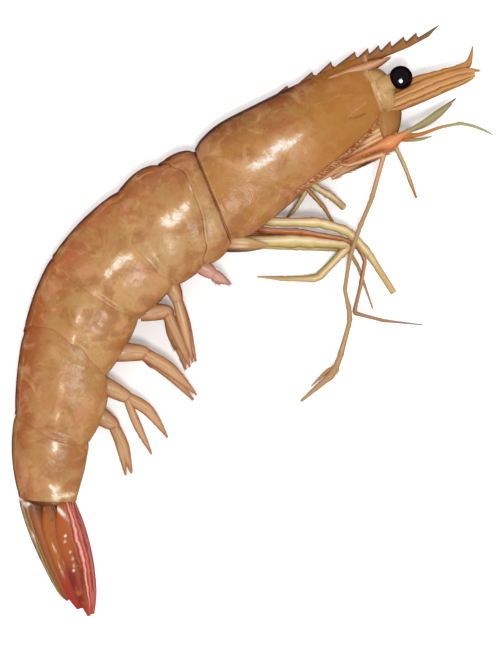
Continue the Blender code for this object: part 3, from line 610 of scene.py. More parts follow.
def plate_row(s):
    """The slice at s, where plate 1 runs from 0 to 1, plate 2 from 1 to 2, and so on."""
    if s < 0:
        return [lerp(a, b, min(-s, 1.0)) for a, b in zip(PLATE_SLICES[0][0], HEAD_SLICES[HEAD_END - 1])]
    i = min(int(s), 5)
    t = s - i
    return [
        a * (1 - t) * (1 - 2 * t) + b * 4 * t * (1 - t) + c * t * (2 * t - 1)
        for a, b, c in zip(*PLATE_SLICES[i])
    ]


def rear_edge(number, turn):
    """Where the free rear edge of a plate lies at a turn; number 0 is the edge of the head shield."""
    if number == 0:
        return 0.0
    fold = min(turn, 1 - turn)
    bows = EDGE_BOWS[number - 1]
    shift = bows[-1][1]
    for (a, from_shift), (b, to_shift) in zip(bows, bows[1:]):
        if fold <= b:
            shift = lerp(from_shift, to_shift, smooth_step((fold - a) / (b - a)))
            break
    return number + shift


for number in range(1, 7):
    first, last = PLATE_SLICES[number - 1][0], PLATE_SLICES[number - 1][2]
    length = math.hypot(*[(last[i] + last[i + 2] - first[i] - first[i + 2]) / 2 for i in (0, 1)])
    lap = 2.6 / length
    rows = [(-0.02, 1.6), (-0.01, 0.6)]
    rows += [(toward_rear(i, PLATE_ROWS), 0.0) for i in range(PLATE_ROWS)]
    rows += [(1.0, 0.0), (1.0, 0.05, 0.08), (1.0, 0.13, 0.11), (1.0, 0.21, 0.08), (1.0, SHELL_EDGE, -0.05)]
    if number == 6:
        rows += [(1.0, 0.62, -0.5), (1.0, 0.9, 0.3), (1.0, 1.5, 0.9), (1.0, 2.6, 1.2)]
    else:
        rows += [(1.0, 0.5, -0.6), (1.0, 1.4, -1.2)]
    grid, plate_marks = [], []
    for t, inset, *past in rows:
        past = past[0] if past else 0.0
        ring, marks = [], []
        for i in range(PLATE_SIDES):
            turn = i / PLATE_SIDES
            fold = min(turn, 1 - turn)
            front_edge, edge = rear_edge(number - 1, turn), rear_edge(number, turn)
            s = lerp(front_edge - lap, edge, t) + past / length
            row = plate_row(s)
            shown = (s - front_edge) * length
            left = (edge - s) * length
            tuck = 0.21 * (1 - smooth_step(shown / 2.0)) + 0.5 * smooth_step(-shown / 1.4)
            point = trunk_point(row, turn, PLATE_SHAPE, inset + (tuck if inset < 0.7 or t < 0.5 else 0.0))
            outward = outward_at(row, point)
            flank = math.sin(2 * math.pi * fold) ** 0.5 if 0 < fold < 0.5 else 0.0
            barrel = 0.30 * flank * math.sin(math.pi * min(max(s - number + 1, 0.0), 1.0))
            wave = 0.11 * noise.noise(point * 0.30) + 0.06 * noise.noise(point * 0.8 + Vector((9, 0, 0)))
            bead = 0.04 * bell(left - 0.30, 0.30) - 0.05 * bell(left - 1.1, 0.35)
            hinge = 0.08 * bell(fold - 0.335, 0.010) * smooth_step(shown / 2) * smooth_step(left / 2)
            hem = 0.05 * bell(fold - 0.375, 0.012)
            if inset == 0.0:
                point += outward * (barrel + wave * flank + bead - hinge + hem)
            point.z = max(point.z, 0.0)
            ring.append(point)
            line = 0.5 + 0.5 * noise.noise(point * 0.35 + Vector((0, 7, number)))
            # dark is a painted shadow where the plate comes out from under the one ahead and painted shade on
            # the last plate's underside behind its rim, with darker lines along the back and the belly edge;
            # pale is a painted highlight on the rolled rear rim and on the keel beside the back, and a pale
            # line on the belly hem; the white spots are painted highlights on the crest
            marks.append({
                "back": 1 - 2 * fold,
                "dark": max(
                    EDGE_SHADOW_AND_HIGHLIGHT[number - 1] * (0.3 + 0.9 * line) * bell(shown - 0.10, 0.30),
                    bell(fold, 0.042 + 0.014 * noise.noise(point * 0.5), 4),
                    0.25 * bell(fold - 0.408, 0.018),
                    1.0 if number == 6 and past > 0.2 else 0.0),
                "pale": max(
                    EDGE_SHADOW_AND_HIGHLIGHT[min(number, 5)] * (0.1 + 0.9 * line) * bell(left - 0.25, 0.30),
                    (0.3 + 0.5 * line) * bell(fold - 0.078, 0.010),
                    0.5 * line * bell(fold - 0.365, 0.020)),
                "painted_highlight": spot_mark(point.x, point.y, PLATE_PAINTED_HIGHLIGHTS[number - 1], 0.42) if turn < 0.5 else 0.0,
            })
        grid.append(ring)
        plate_marks.append(marks)
    plate = skin(f"plate_{number}", grid, by_mark(plate_marks))
    mid, warm = PLATE_OCHRES[number - 1]
    plate_skin = moist_shell(
        f"raw shell of plate {number}",
        [(0.0, "#9f8057"), (0.18, "#8e5c2c"), (0.27, mid), (0.45, mid), (0.60, "#8f6234"), (0.74, warm),
         (0.86, warm), (0.95, "#76380d"), (1.0, "#4e1a0a")],
        "#3e0a0a", "#ab8557", "#c7beb1")
    finish_piece(plate, plate_skin, "abdomen", f"abdomen_{number}")

# the first plate's flap reaches forward over the hips of the last legs on each side
FLAP = [
    (-15.0, 21.0, 3.2, 1.8, 0.5), (-10.6, 19.0, 3.9, 2.4, 0.5), (-6.4, 18.1, 4.8, 2.0, 0.45),
    (-1.0, 17.7, 4.9, 1.5, 0.40), (3.6, 17.4, 4.2, 0.3, 0.25),
]


def flap_rib(along, across):
    return 0.12 * bell(across - 0.5, 0.25) * smooth_step(along / 0.3) * smooth_step((1 - along) / 0.2)


# the flap's ramp is near-black along its lower edge and pale near its upper edge: painted shade under the
# flap and a painted highlight along its top
flap_shell = streaked_shell(
    "raw shell of the first flap",
    [(0.0, "#2f160a"), (0.16, "#654216"), (0.26, "#8c612d"), (0.50, "#916a39"), (0.66, "#997448"),
     (0.84, "#a98c67"), (1.0, "#855d31")],
    "#987343", (0.55, 1.0, 0.6), "#784a1b", (0.50, 0.72, 0.5), fine=2.5)
for side_name, side in BOTH_SIDES:
    flap = leaf(f"plate_1_flap_{side_name}", beside(FLAP, side, 8.7), flap_rib, steps=60, sides=32)
    finish_piece(flap, flap_shell, "abdomen", "abdomen_1")

# TAIL FAN
# The telson is a stiff spike under the last plate, and two thin paddles lie folded on each side of
# it. They are thin shell with a rib down the middle, orange at the root and dark red at the tip.

# the fan's middle lies this high at its root and at its tip
FAN_MIDDLE = (5.0, 3.1)
FAN_ROOT = -43.0
FAN_LENGTH = 25.0
TELSON = [
    (-52.2, -40.4, 0.0, 2.3, 0.9),
    (-51.6, -42.7, 0.0, 2.7, 1.1), (-49.8, -49.0, 0.0, 2.5, 1.0), (-47.3, -56.0, 0.0, 2.0, 0.75),
    (-44.6, -62.6, 0.0, 1.25, 0.45), (-43.2, -65.2, 0.0, 0.4, 0.3),
]
INNER_PADDLE = [
    (-48.0, -40.2, 1.6, 1.1, 0.45),
    (-47.5, -42.9, 1.9, 1.5, 0.45), (-46.2, -48.5, 1.9, 2.7, 0.45), (-43.4, -56.0, 1.7, 3.0, 0.40),
    (-41.4, -63.0, 1.45, 2.3, 0.35), (-40.2, -67.0, 1.3, 0.9, 0.25),
]
OUTER_PADDLE = [
    (-44.5, -40.2, 2.6, 1.2, 0.50),
    (-43.8, -42.9, 3.2, 1.7, 0.50), (-42.9, -48.5, 3.2, 2.9, 0.45), (-41.0, -56.0, 2.9, 2.9, 0.40),
    (-39.3, -63.5, 2.5, 2.0, 0.35), (-38.2, -68.7, 2.2, 0.4, 0.25),
]


def paddle_rib(along, across):
    fade = smooth_step(along / 0.1) * smooth_step((1 - along) / 0.2)
    rib = 0.14 * bell(across - 0.45, 0.10) - 0.06 * bell(abs(across - 0.45) - 0.2, 0.1)
    return fade * (rib + 0.025 * math.cos(across * 26) * (1 - abs(across)))


def telson_rib(along, across):
    fade = smooth_step(along / 0.1) * smooth_step((1 - along) / 0.15)
    return fade * (0.15 * bell(across + 0.62, 0.10) - 0.10 * bell(across + 0.42, 0.10))


def fan_rows(rows, side, shift):
    """Rows whose third number is the distance from the fan's middle, which falls along its length."""
    return [
        (x + shift[0], y + shift[1], lerp(*FAN_MIDDLE, (FAN_ROOT - y) / FAN_LENGTH) + side * aside, *rest)
        for x, y, aside, *rest in rows
    ]


telson_skin = streaked_shell(
    "raw shell of the telson",
    [(0.0, "#46310a"), (0.12, "#92734b"), (0.20, "#4b2d0a"), (0.27, "#856033"), (0.34, "#65330a"),
     (0.45, "#7e410a"), (0.7, "#87420a"), (1.0, "#7e3d0a")],
    "#782b0f", (0.76, 1.0, 0.8), "#5f270a", (0.54, 0.74, 0.5), fine=4.0, gloss=(0.46, 0.62), coat=0.10,
    blot="#4d2b0a")
inner_skin = streaked_shell(
    "raw shell of the inner paddles",
    [(0.0, "#743b0a"), (0.12, "#884a0f"), (0.3, "#8a450a"), (0.55, "#89430a"), (0.8, "#853d0a"),
     (1.0, "#77310a")],
    "#7d180a", (0.54, 0.80, 0.95), "#6a2d0a", (0.54, 0.74, 0.6), fine=5.0, gloss=(0.46, 0.62), coat=0.10,
    blot="#4d2b0a")
outer_skin = streaked_shell(
    "raw shell of the outer paddles",
    [(0.0, "#7e390a"), (0.16, "#87420a"), (0.50, "#853d0a"), (0.60, "#854118"), (0.66, "#6d0a0a"),
     (0.71, "#aa6554"), (0.76, "#bc9587"), (0.80, "#a24f3d"), (0.85, "#730a0a"), (0.90, "#a4584a"),
     (0.96, "#944031"), (1.0, "#672520")],
    "#8e250f", (0.80, 1.02, 0.75), "#6f1b0a", (0.52, 0.74, 0.5), fine=6.0, gloss=(0.46, 0.62), coat=0.10,
    blot="#5d0a0a")

# dark stains, and white spots that are painted highlights, each as x, y, length, width and turn
ROOT_STAINS = [
    (-50.9, -43.6, 2.4, 1.2, 2.3), (-48.2, -43.4, 2.6, 1.6, 0.3), (-45.6, -42.8, 1.6, 1.0, 0.3),
    (-46.9, -45.6, 2.0, 0.4, 1.9),
]
TIP_STAINS = [
    (-42.0, -60.4, 4.4, 1.5, 1.85), (-40.4, -64.0, 3.8, 1.2, 1.85), (-43.4, -60.2, 3.0, 0.8, 2.0),
    (-40.8, -56.4, 4.0, 0.45, 1.85), (-39.8, -60.6, 4.6, 0.5, 1.67),
]
TELSON_HIGHLIGHTS = [
    (-53.9, -41.6, 1.8, 0.35, 2.2), (-52.3, -42.5, 0.8, 0.4, 0.6), (-51.0, -50.5, 1.4, 0.12, 1.95)]
INNER_HIGHLIGHTS = [
    (-46.1, -53.2, 1.3, 0.12, 2.0), (-44.7, -57.9, 1.3, 0.12, 1.95), (-43.8, -56.6, 0.9, 0.12, 2.0)]
OUTER_HIGHLIGHTS = [
    (-44.4, -44.5, 1.9, 0.36, 2.3), (-43.6, -49.9, 0.22, 0.22, 0), (-43.7, -51.2, 0.21, 0.21, 0),
    (-42.5, -53.6, 0.21, 0.21, 0), (-41.9, -55.2, 0.20, 0.20, 0), (-41.7, -56.9, 0.20, 0.20, 0),
    (-41.7, -58.0, 0.20, 0.20, 0),
]
STRAIGHT = (0.0, 0.0)
telson = leaf(
    "telson_spike", fan_rows(TELSON, 1, STRAIGHT), telson_rib, spots=TELSON_HIGHLIGHTS, stains=ROOT_STAINS)
finish_piece(telson, telson_skin, "telson", "telson")
for side_name, side, shift in (("right", 1, STRAIGHT), ("left", -1, (0.7, 0.1))):
    for part, rows, spots, stains, shell in (
        ("inner", INNER_PADDLE, INNER_HIGHLIGHTS, ROOT_STAINS, inner_skin),
        ("outer", OUTER_PADDLE, OUTER_HIGHLIGHTS, TIP_STAINS, outer_skin),
    ):
        paddle = leaf(
            f"{part}_paddle_{side_name}", fan_rows(rows, side, shift), paddle_rib, spots=spots, stains=stains)
        finish_piece(paddle, shell, "uropods", f"uropod_{part}_{side_name}")

# SOCKETS
# Between the front edge of the shield and the feelers lies soft pale skin over the front of the
# head, folded back into the two sockets that the eyestalks come out of.

FACE_SLICES = [
    (23.5, 58.2, 28.0, 46.8, 4.9, 8.6), (26.6, 59.3, 30.2, 47.6, 4.9, 8.6),
    (29.4, 58.4, 32.2, 47.8, 4.9, 8.6), (31.2, 57.0, 33.4, 48.8, 4.2, 8.6),
    (32.5, 55.2, 33.9, 50.6, 2.4, 8.6),
]
FACE_STEPS = 40
FACE_SIDES = 72
face_skin = streaked_shell(
    "soft skin round the sockets",
    [(0.0, "#895f30"), (0.25, "#957141"), (0.45, "#9f7e50"), (0.6, "#a6885b"), (0.8, "#987446"),
     (1.0, "#805825")],
    "#9d7846", (0.8, 1.0, 0.5), "#8c5a2b", (0.48, 0.66, 0.7), fine=3.0)
face_grid = []
for step in range(FACE_STEPS + 1):
    row = chain_at(FACE_SLICES, step / FACE_STEPS * (len(FACE_SLICES) - 1))
    ring = []
    for i in range(FACE_SIDES):
        point = trunk_point(row, i / FACE_SIDES, (0.0, 0.0, 0.0), 0.0)
        ring.append(point + outward_at(row, point) * 0.22 * noise.noise(point * 0.55))
    face_grid.append(ring)
face = skin("socket_skin", face_grid, streak_marks(FACE_STEPS, FACE_SIDES))
finish_piece(face, face_skin, "carapace", "carapace")

# EYES
# Each eye is a ball of clear cornea over dark pigment, set in thousands of tiny facets, on a short
# soft-skinned stalk that comes out of the socket.

EYE_RADIUS = 2.76
EYE_RINGS, EYE_SIDES = 40, 64
STALK_STEPS, STALK_SIDES = 30, 48
EYE_MIDDLE = (34.1, 56.15, 5.2)
STALK_ROOT = (29.4, 54.3, 3.1)

# cornea is clear chitin, moulded in facets over black pigment that clouds some 2 mm apart; the eye
# sees a near-black ball, dull but for one small wet glint
cornea, tree, shader, place = new_material("wet faceted cornea")
depth = add(tree, "ShaderNodeTexNoise", None, {"Vector": place, "Scale": 500.0, "Detail": 3.0})
pigment = add(tree, "ShaderNodeValToRGB", None, {"Fac": depth}, [
    (0.35, "#050204"), (0.55, "#0a0309"), (0.75, "#140713")])
# facets are 0.06 mm across, drawn at 0.12 mm
facets = add(tree, "ShaderNodeTexVoronoi", None, {"Vector": place, "Scale": 8000.0})
dimple = add(tree, "ShaderNodeBump", None, {
    "Strength": 0.10, "Distance": 0.00003, "Height": facets.outputs["Distance"]})
plug(tree, shader, {
    "Base Color": pigment, "Roughness": 0.5, "Specular IOR Level": 0.0, "Normal": dimple,
    "Coat Weight": 0.14, "Coat Roughness": 0.12, "Coat IOR": 1.45, "Coat Normal": dimple})

stalk_skin = streaked_shell(
    "soft skin of the eyestalk",
    [(0.0, "#926c3d"), (0.3, "#9d7d4f"), (0.6, "#a18356"), (1.0, "#926e3f")],
    "#8a6039", (0.85, 1.1, 0.6), "#8c5a2b", (0.48, 0.68, 0.6), fine=2.6)


def hoop_of(facing, count):
    """Unit vectors in a ring round the way that the eye faces."""
    first = facing.orthogonal().normalized()
    second = facing.cross(first)
    turns = [2 * math.pi * i / count for i in range(count)]
    return [first * math.cos(turn) + second * math.sin(turn) for turn in turns]


eyes_lit = bpy.data.collections.new("eyes lit by the catch light")
for side_name, side in BOTH_SIDES:
    centre, root = (Vector(row) for row in beside([EYE_MIDDLE, STALK_ROOT], side))
    facing = (centre - root).normalized()
    ball = []
    for i in range(1, EYE_RINGS):
        polar = math.pi * i / EYE_RINGS
        ball.append([
            centre + facing * math.cos(polar) * EYE_RADIUS * 0.97 + out * math.sin(polar) * EYE_RADIUS
            for out in hoop_of(facing, EYE_SIDES)])
    eye = skin(f"eyeball_{side_name}", ball)
    finish_piece(eye, cornea, "eyes", f"eye_{side_name}")
    eyes_lit.objects.link(eye)
    stalk_rings = []
    for i in range(STALK_STEPS + 1):
        along = i / STALK_STEPS
        spot = root.lerp(centre, along * 0.86)
        wide = lerp(2.3, 1.8, smooth_step(along / 0.7)) + 0.45 * smooth_step((along - 0.6) / 0.35)
        stalk_rings.append([
            spot + out * wide * (1 + 0.03 * noise.noise(Vector((along * 6, j * 0.4, side))))
            for j, out in enumerate(hoop_of(facing, STALK_SIDES))])
    stalk = skin(f"stalk_{side_name}", stalk_rings, streak_marks(STALK_STEPS, STALK_SIDES))
    finish_piece(stalk, stalk_skin, "eyestalks", f"eyestalk_{side_name}")

# FEELERS
# Below each eye a broad scale and the jointed base of the upper feeler reach forward side by side.
# Both are stiff shell with ribs along them; the upper feeler ends in two short upturned lashes.

SCALE = [
    (27.6, 48.6, 3.0, 1.3, 0.40), (31.2, 50.0, 3.45, 2.0, 0.40), (34.5, 51.2, 3.45, 2.1, 0.42),
    (39.0, 53.2, 3.45, 2.3, 0.42), (44.5, 55.4, 3.35, 2.1, 0.40), (49.0, 56.9, 3.2, 1.7, 0.35),
    (51.3, 57.3, 3.1, 0.9, 0.25),
]
UPPER_FEELER = [
    (27.5, 49.6, 1.4, 1.0), (31.2, 51.4, 1.4, 1.05), (37.4, 55.3, 1.4, 1.25), (43.4, 57.1, 1.4, 1.15),
    (48.2, 58.6, 1.4, 1.0), (49.8, 59.6, 1.4, 0.85), (50.5, 61.3, 1.4, 0.45), (51.0, 63.8, 1.4, 0.12),
]
UPPER_FEELER_SPUR = [(48.4, 58.2, 1.4, 0.55), (50.6, 58.2, 1.7, 0.38), (52.8, 58.1, 2.0, 0.10)]
# how high the base lies at its top, middle and foot, the feeler's own rows, and where it is jointed
LOWER_FEELERS = {
    "right": ((12.0, 12.1, 12.0), [
        (34.2, 42.7, 11.4, 0.7), (38.7, 43.3, 9.4, 0.45), (43.4, 45.0, 7.0, 0.38), (46.9, 45.8, 5.2, 0.36),
        (48.4, 46.1, 4.6, 0.42), (51.5, 45.5, 3.3, 0.34), (54.3, 44.5, 2.2, 0.28), (56.1, 43.6, 1.5, 0.12),
    ], [5]),
    "left": ((5.2, 5.1, 5.0), [
        (34.2, 42.5, 4.6, 0.7), (38.6, 42.4, 3.4, 0.42), (41.8, 43.2, 2.4, 0.14),
    ], []),
}


def new_group(name, *inputs):
    """A geometry node group that takes a line and the inputs given, with its input node."""
    group = bpy.data.node_groups.new(name, "GeometryNodeTree")
    for label, kind in (("Geometry", "Geometry"), *inputs):
        group.interface.new_socket(label, in_out="INPUT", socket_type=f"NodeSocket{kind}")
    group.interface.new_socket("Geometry", in_out="OUTPUT", socket_type="NodeSocketGeometry")
    return group, add(group, "NodeGroupInput")


def end_group(group, shape, material):
    shape = add(group, "GeometryNodeRealizeInstances", None, {"Geometry": shape})
    shape = add(group, "GeometryNodeSetMaterial", None, {"Geometry": shape, "Material": material})
    add(group, "NodeGroupOutput", None, {"Geometry": shape})


# a limb swept along its middle line, as thick as its "thick" value
LIMB_STEPS = 10
limb_sweep, given = new_group("swept limb", ("Sides", "Int"), ("Shell", "Material"))
line = add(limb_sweep, "GeometryNodeMeshToCurve", None, {"Mesh": given.outputs["Geometry"]})
line = add(limb_sweep, "GeometryNodeSetCurveNormal", {"mode": "Z_UP"}, {"Curve": line})
factor = add(limb_sweep, "GeometryNodeSplineParameter").outputs["Factor"]
line = add(limb_sweep, "GeometryNodeStoreNamedAttribute", None, {
    "Geometry": line, "Name": "along", "Value": factor})
hoop = add(limb_sweep, "GeometryNodeCurvePrimitiveCircle", None, {
    "Resolution": given.outputs["Sides"], "Radius": 1.0})
turn = add(limb_sweep, "ShaderNodeMath", {"operation": "MULTIPLY"}, {0: factor, 1: 2 * math.pi})
turn = add(limb_sweep, "ShaderNodeMath", {"operation": "COSINE"}, {0: turn})
hoop = add(limb_sweep, "GeometryNodeStoreNamedAttribute", None, {
    "Geometry": hoop, "Name": "across", "Value": turn})
thick = add(limb_sweep, "GeometryNodeInputNamedAttribute", {"data_type": "FLOAT"}, {"Name": "thick"})
tube = add(limb_sweep, "GeometryNodeCurveToMesh", None, {
    "Curve": line, "Profile Curve": hoop, "Scale": thick, "Fill Caps": True})
tube = add(limb_sweep, "GeometryNodeSetShadeSmooth", None, {"Geometry": tube})
end_group(limb_sweep, tube, given.outputs["Shell"])


def grow(name, points, values, group, inputs):
    """A plain mesh from a node group run on a line of points that carry named values."""
    mesh = bpy.data.meshes.new(name)
    links = [(i, i + 1) for i in range(len(points) - 1)]
    mesh.from_pydata([tuple(Vector(point) * MM) for point in points], links, [])
    for label, column in values.items():
        if isinstance(column[0], float):
            mesh.attributes.new(label, "FLOAT", "POINT").data.foreach_set("value", column)
        else:
            flat = [part for vector in column for part in vector]
            mesh.attributes.new(label, "FLOAT_VECTOR", "POINT").data.foreach_set("vector", flat)
    line_object = bpy.data.objects.new(name + "_line", mesh)
    bpy.context.scene.collection.objects.link(line_object)
    run = line_object.modifiers.new("grow", "NODES")
    run.node_group = group
    for item in group.interface.items_tree:
        if item.in_out == "INPUT" and item.name in inputs:
            run[item.identifier] = inputs[item.name]
    bpy.context.view_layer.update()
    made = bpy.data.meshes.new_from_object(line_object.evaluated_get(bpy.context.evaluated_depsgraph_get()))
    made.name = name
    bpy.data.objects.remove(line_object)
    work = bmesh.new()
    work.from_mesh(made)
    bmesh.ops.remove_doubles(work, verts=work.verts, dist=0.00001 * MM)
    bmesh.ops.recalc_face_normals(work, faces=work.faces)
    work.to_mesh(made)
    work.free()
    piece = bpy.data.objects.new(name, made)
    bpy.context.scene.collection.objects.link(piece)
    return piece


def limb(name, rows, shell, sides=20, joints=None):
    """A round limb through rows of x, y, height and radius, with a knuckle at each joint."""
    joints = range(1, len(rows) - 1) if joints is None else joints
    spots = [Vector(row[0:3]) for row in rows]
    # each joint is bent over a short length, with the limb thinnest in the bend and swollen beside it
    spans = [(after - before).length for before, after in zip(spots, spots[1:])]
    bent = {i: min(1.6 * rows[i][3], 0.3 * spans[i - 1], 0.3 * spans[i]) for i in joints}
    corners = []
    for i, (spot, row) in enumerate(zip(spots, rows)):
        if i in bent:
            enter = spot + (spots[i - 1] - spot).normalized() * bent[i]
            leave = spot + (spots[i + 1] - spot).normalized() * bent[i]
            turn = (enter + 2 * spot + leave) / 4
            corners += [(*enter, row[3] * 0.96), (*turn, row[3] * 1.02), (*leave, row[3] * 0.88)]
        else:
            corners.append(row)
    points, radii = [], []
    for k in range((len(corners) - 1) * LIMB_STEPS + 1):
        x, y, height, radius = chain_at(corners, k / LIMB_STEPS)
        points.append((x, y, max(height, radius * 0.9)))
        radii.append(max(radius, 0.06) * MM)
    for k, point in enumerate(points):
        swell = 0.0
        for i, length in bent.items():
            gap = (Vector(point) - spots[i]).length
            swell += 0.14 * bell(gap - 0.9 * length, 0.5 * length) - 0.12 * bell(gap, 0.32 * length)
        radii[k] = radii[k] * (1 + swell)
    return grow(name, points, {"thick": radii}, limb_sweep, {"Sides": sides, "Shell": shell})


def scale_rib(along, across):
    fade = smooth_step(along / 0.08) * smooth_step((1 - along) / 0.15)
    return fade * 0.10 * math.cos((across + 0.15) * 11.0) * (1 - across * across * 0.5)


def base_rib(along, across):
    return (0.22 * noise.noise(Vector((along * 5, across * 2.5, 3))) - 0.25 * bell(across + 0.1, 0.15)
            ) * smooth_step(along / 0.1)


scale_skin = streaked_shell(
    "raw shell of the feeler scale",
    [(0.0, "#7b4b18"), (0.12, "#a47741"), (0.26, "#733c18"), (0.33, "#ab7e49"), (0.52, "#9d6e3b"),
     (0.60, "#733a18"), (0.66, "#ab7a44"), (0.86, "#a16c35"), (1.0, "#734418")],
    "#a47e49", (0.80, 1.0, 0.6), "#733c18", (0.54, 0.72, 0.7), fine=5.0)
upper_skin = streaked_shell(
    "raw shell of the upper feeler",
    [(0.0, "#874d19"), (0.3, "#a87334"), (0.6, "#ac7837"), (1.0, "#7e4119")],
    "#95633d", (0.74, 0.98, 0.85), "#723319", (0.52, 0.72, 0.6), fine=3.0)
lower_skin = streaked_shell(
    "raw shell of the lower feeler",
    [(0.0, "#964f19"), (0.3, "#aa6925"), (0.6, "#a3611f"), (1.0, "#874519")],
    "#85855f", (0.34, 0.66, 0.90), "#8b3819", (0.52, 0.72, 0.6), fine=3.0)
base_skin = streaked_shell(
    "raw shell of the feeler base",
    [(0.0, "#80531c"), (0.3, "#8b6232"), (0.6, "#835827"), (0.85, "#794d1a"), (1.0, "#5b300a")],
    "#9a542c", (0.60, 0.95, 0.9), "#67380a", (0.50, 0.72, 0.6), fine=2.0, gloss=(0.50, 0.66), coat=0.06)
for side_name, side in BOTH_SIDES:
    scale = leaf(f"scale_{side_name}", beside(SCALE, side), scale_rib)
    finish_piece(scale, scale_skin, "antennal_scales", f"antennal_scale_{side_name}")
    stem = limb(f"upper_feeler_{side_name}", beside(UPPER_FEELER, side), upper_skin, joints=(3, 4))
    finish_piece(stem, upper_skin, "antennules", f"antennule_{side_name}")
    spur = limb(f"upper_feeler_spur_{side_name}", beside(UPPER_FEELER_SPUR, side), upper_skin, joints=())
    finish_piece(spur, upper_skin, "antennules", f"antennule_{side_name}")
    (top, middle, foot), lash, joints = LOWER_FEELERS[side_name]
    base = leaf(f"feeler_base_{side_name}", [
        (31.0, 50.4, top - side * 1.8, 1.8, 0.8), (31.4, 48.6, top - side * 0.8, 2.9, 1.2),
        (31.3, 46.2, middle, 2.9, 1.3), (31.4, 43.6, foot, 2.3, 1.1),
        (32.0, 41.2, foot - side * 0.2, 1.1, 0.8), (32.4, 40.0, foot - side * 0.4, 0.3, 0.3),
    ], base_rib, steps=60, sides=48)
    finish_piece(base, base_skin, "antennae", f"antenna_{side_name}")
    lower = limb(f"lower_feeler_{side_name}", [(32.2, 42.6, foot, 0.9), *lash], lower_skin, joints=joints)
    finish_piece(lower, lower_skin, "antennae", f"antenna_{side_name}")

# MOUTH
# The jaws and foot-jaws lie packed in a bundle under the head: thin orange blades of shell that
# overlap lengthwise, with one long leaf-shaped foot-jaw reaching forward on each side.

JAW_BUNDLE = [
    (18.2, 33.2, 8.9, 0.6, 1.8), (20.8, 34.9, 8.9, 0.95, 2.2), (25.4, 37.8, 8.8, 1.9, 2.4),
    (29.2, 40.3, 8.7, 2.3, 2.2), (32.0, 41.6, 8.6, 2.0, 1.4), (33.6, 42.2, 8.6, 1.2, 0.9),
]
# the middle line of each jaw blade, and how wide the blade is at its four points
JAW_STRIPS = [
    [(14.0, 31.7, 9.6), (21.0, 35.6, 11.0), (27.0, 38.2, 11.6), (32.6, 40.4, 11.2)],
    [(16.4, 33.4, 10.2), (22.6, 37.0, 11.8), (28.2, 39.6, 12.0), (33.2, 41.3, 11.4)],
    [(18.6, 35.2, 10.9), (24.0, 38.4, 12.2), (29.0, 41.0, 12.1), (33.6, 42.2, 11.6)],
    [(20.8, 37.2, 11.4), (25.2, 40.0, 12.4), (29.6, 42.2, 12.2), (33.6, 43.2, 11.6)],
    [(22.8, 39.2, 11.7), (26.4, 41.6, 12.5), (30.0, 43.6, 12.2), (33.4, 44.4, 11.6)],
    [(24.6, 41.2, 11.7), (27.6, 43.3, 12.4), (30.4, 44.9, 12.2), (33.0, 45.6, 11.7)],
]
STRIP_WIDTHS = (0.16, 0.72, 0.85, 0.5)
FOOT_JAWS = {
    "right": [
        (20.5, 36.6, 11.4, 0.5, 0.50), (24.4, 38.3, 12.8, 0.60, 0.50), (28.4, 40.0, 13.2, 0.85, 0.55),
        (31.8, 41.3, 13.6, 1.60, 0.60), (34.3, 42.8, 13.4, 0.80, 0.50), (36.6, 44.3, 12.2, 0.42, 0.40),
        (39.9, 46.3, 9.9, 0.58, 0.32), (43.5, 48.9, 7.6, 0.60, 0.30), (47.3, 51.9, 5.0, 0.15, 0.12)],
    "left": [
        (20.5, 38.4, 6.0, 0.5, 0.50), (24.4, 38.3, 4.6, 0.55, 0.50), (27.4, 39.9, 4.2, 0.60, 0.55),
        (31.0, 41.6, 3.3, 0.60, 0.55), (33.8, 43.0, 2.5, 0.50, 0.50), (36.6, 44.4, 1.9, 0.42, 0.40),
        (40.1, 46.1, 1.5, 0.75, 0.32), (43.4, 48.3, 1.2, 0.75, 0.30), (46.6, 50.9, 0.9, 0.15, 0.12)],
}


def limb_rib(along, across):
    return 0.10 * bell(across, 0.22) * smooth_step(along / 0.1) * smooth_step((1 - along) / 0.1)


def jaw_rib(along, across):
    return 0.22 * math.cos(across * 9.0) * smooth_step(along / 0.1) * smooth_step((1 - along) / 0.1)


jaw_skin = streaked_shell(
    "raw shell of the jaws",
    [(0.0, "#94653b"), (0.25, "#a9835b"), (0.5, "#b18f6a"), (0.75, "#a6794b"), (1.0, "#784a20")],
    "#ab6a39", (0.70, 0.98, 0.8), "#854a16", (0.50, 0.70, 0.7), fine=5.0)
strip_skin = streaked_shell(
    "raw shell of the jaw blades",
    [(0.0, "#8c4818"), (0.22, "#ab7448"), (0.5, "#be9e76"), (0.78, "#ac784f"), (1.0, "#7e350a")],
    "#ae5f2f", (0.66, 0.98, 0.85), "#99521e", (0.52, 0.72, 0.6), fine=3.0)
foot_jaw_skin = streaked_shell(
    "raw shell of the foot-jaws",
    [(0.0, "#9e5220"), (0.3, "#af6a39"), (0.6, "#b1784f"), (0.9, "#a25927"), (1.0, "#8c420a")],
    "#857e56", (0.50, 0.64, 0.95), "#8c420a", (0.50, 0.72, 0.6), fine=3.0, tail=("#62635b", 0.90, 1.0))
bundle = leaf("jaw_bundle", JAW_BUNDLE, jaw_rib, stains=[(25.9, 36.4, 2.6, 0.5, 0.44)])
finish_piece(bundle, jaw_skin, "mouthparts", "mouthparts")
for number, route in enumerate(JAW_STRIPS):
    rows = [(*spot, wide, 0.4 * wide) for spot, wide in zip(route, STRIP_WIDTHS)]
    strip = leaf(f"jaw_blade_{number + 1}", rows, limb_rib, steps=48, sides=24)
    finish_piece(strip, strip_skin, "mouthparts", "mouthparts")
for side_name, rows in FOOT_JAWS.items():
    foot_jaw = leaf(f"foot_jaw_{side_name}", rows, limb_rib, sides=32)
    finish_piece(foot_jaw, foot_jaw_skin, "maxillipeds", f"maxilliped_{side_name}")

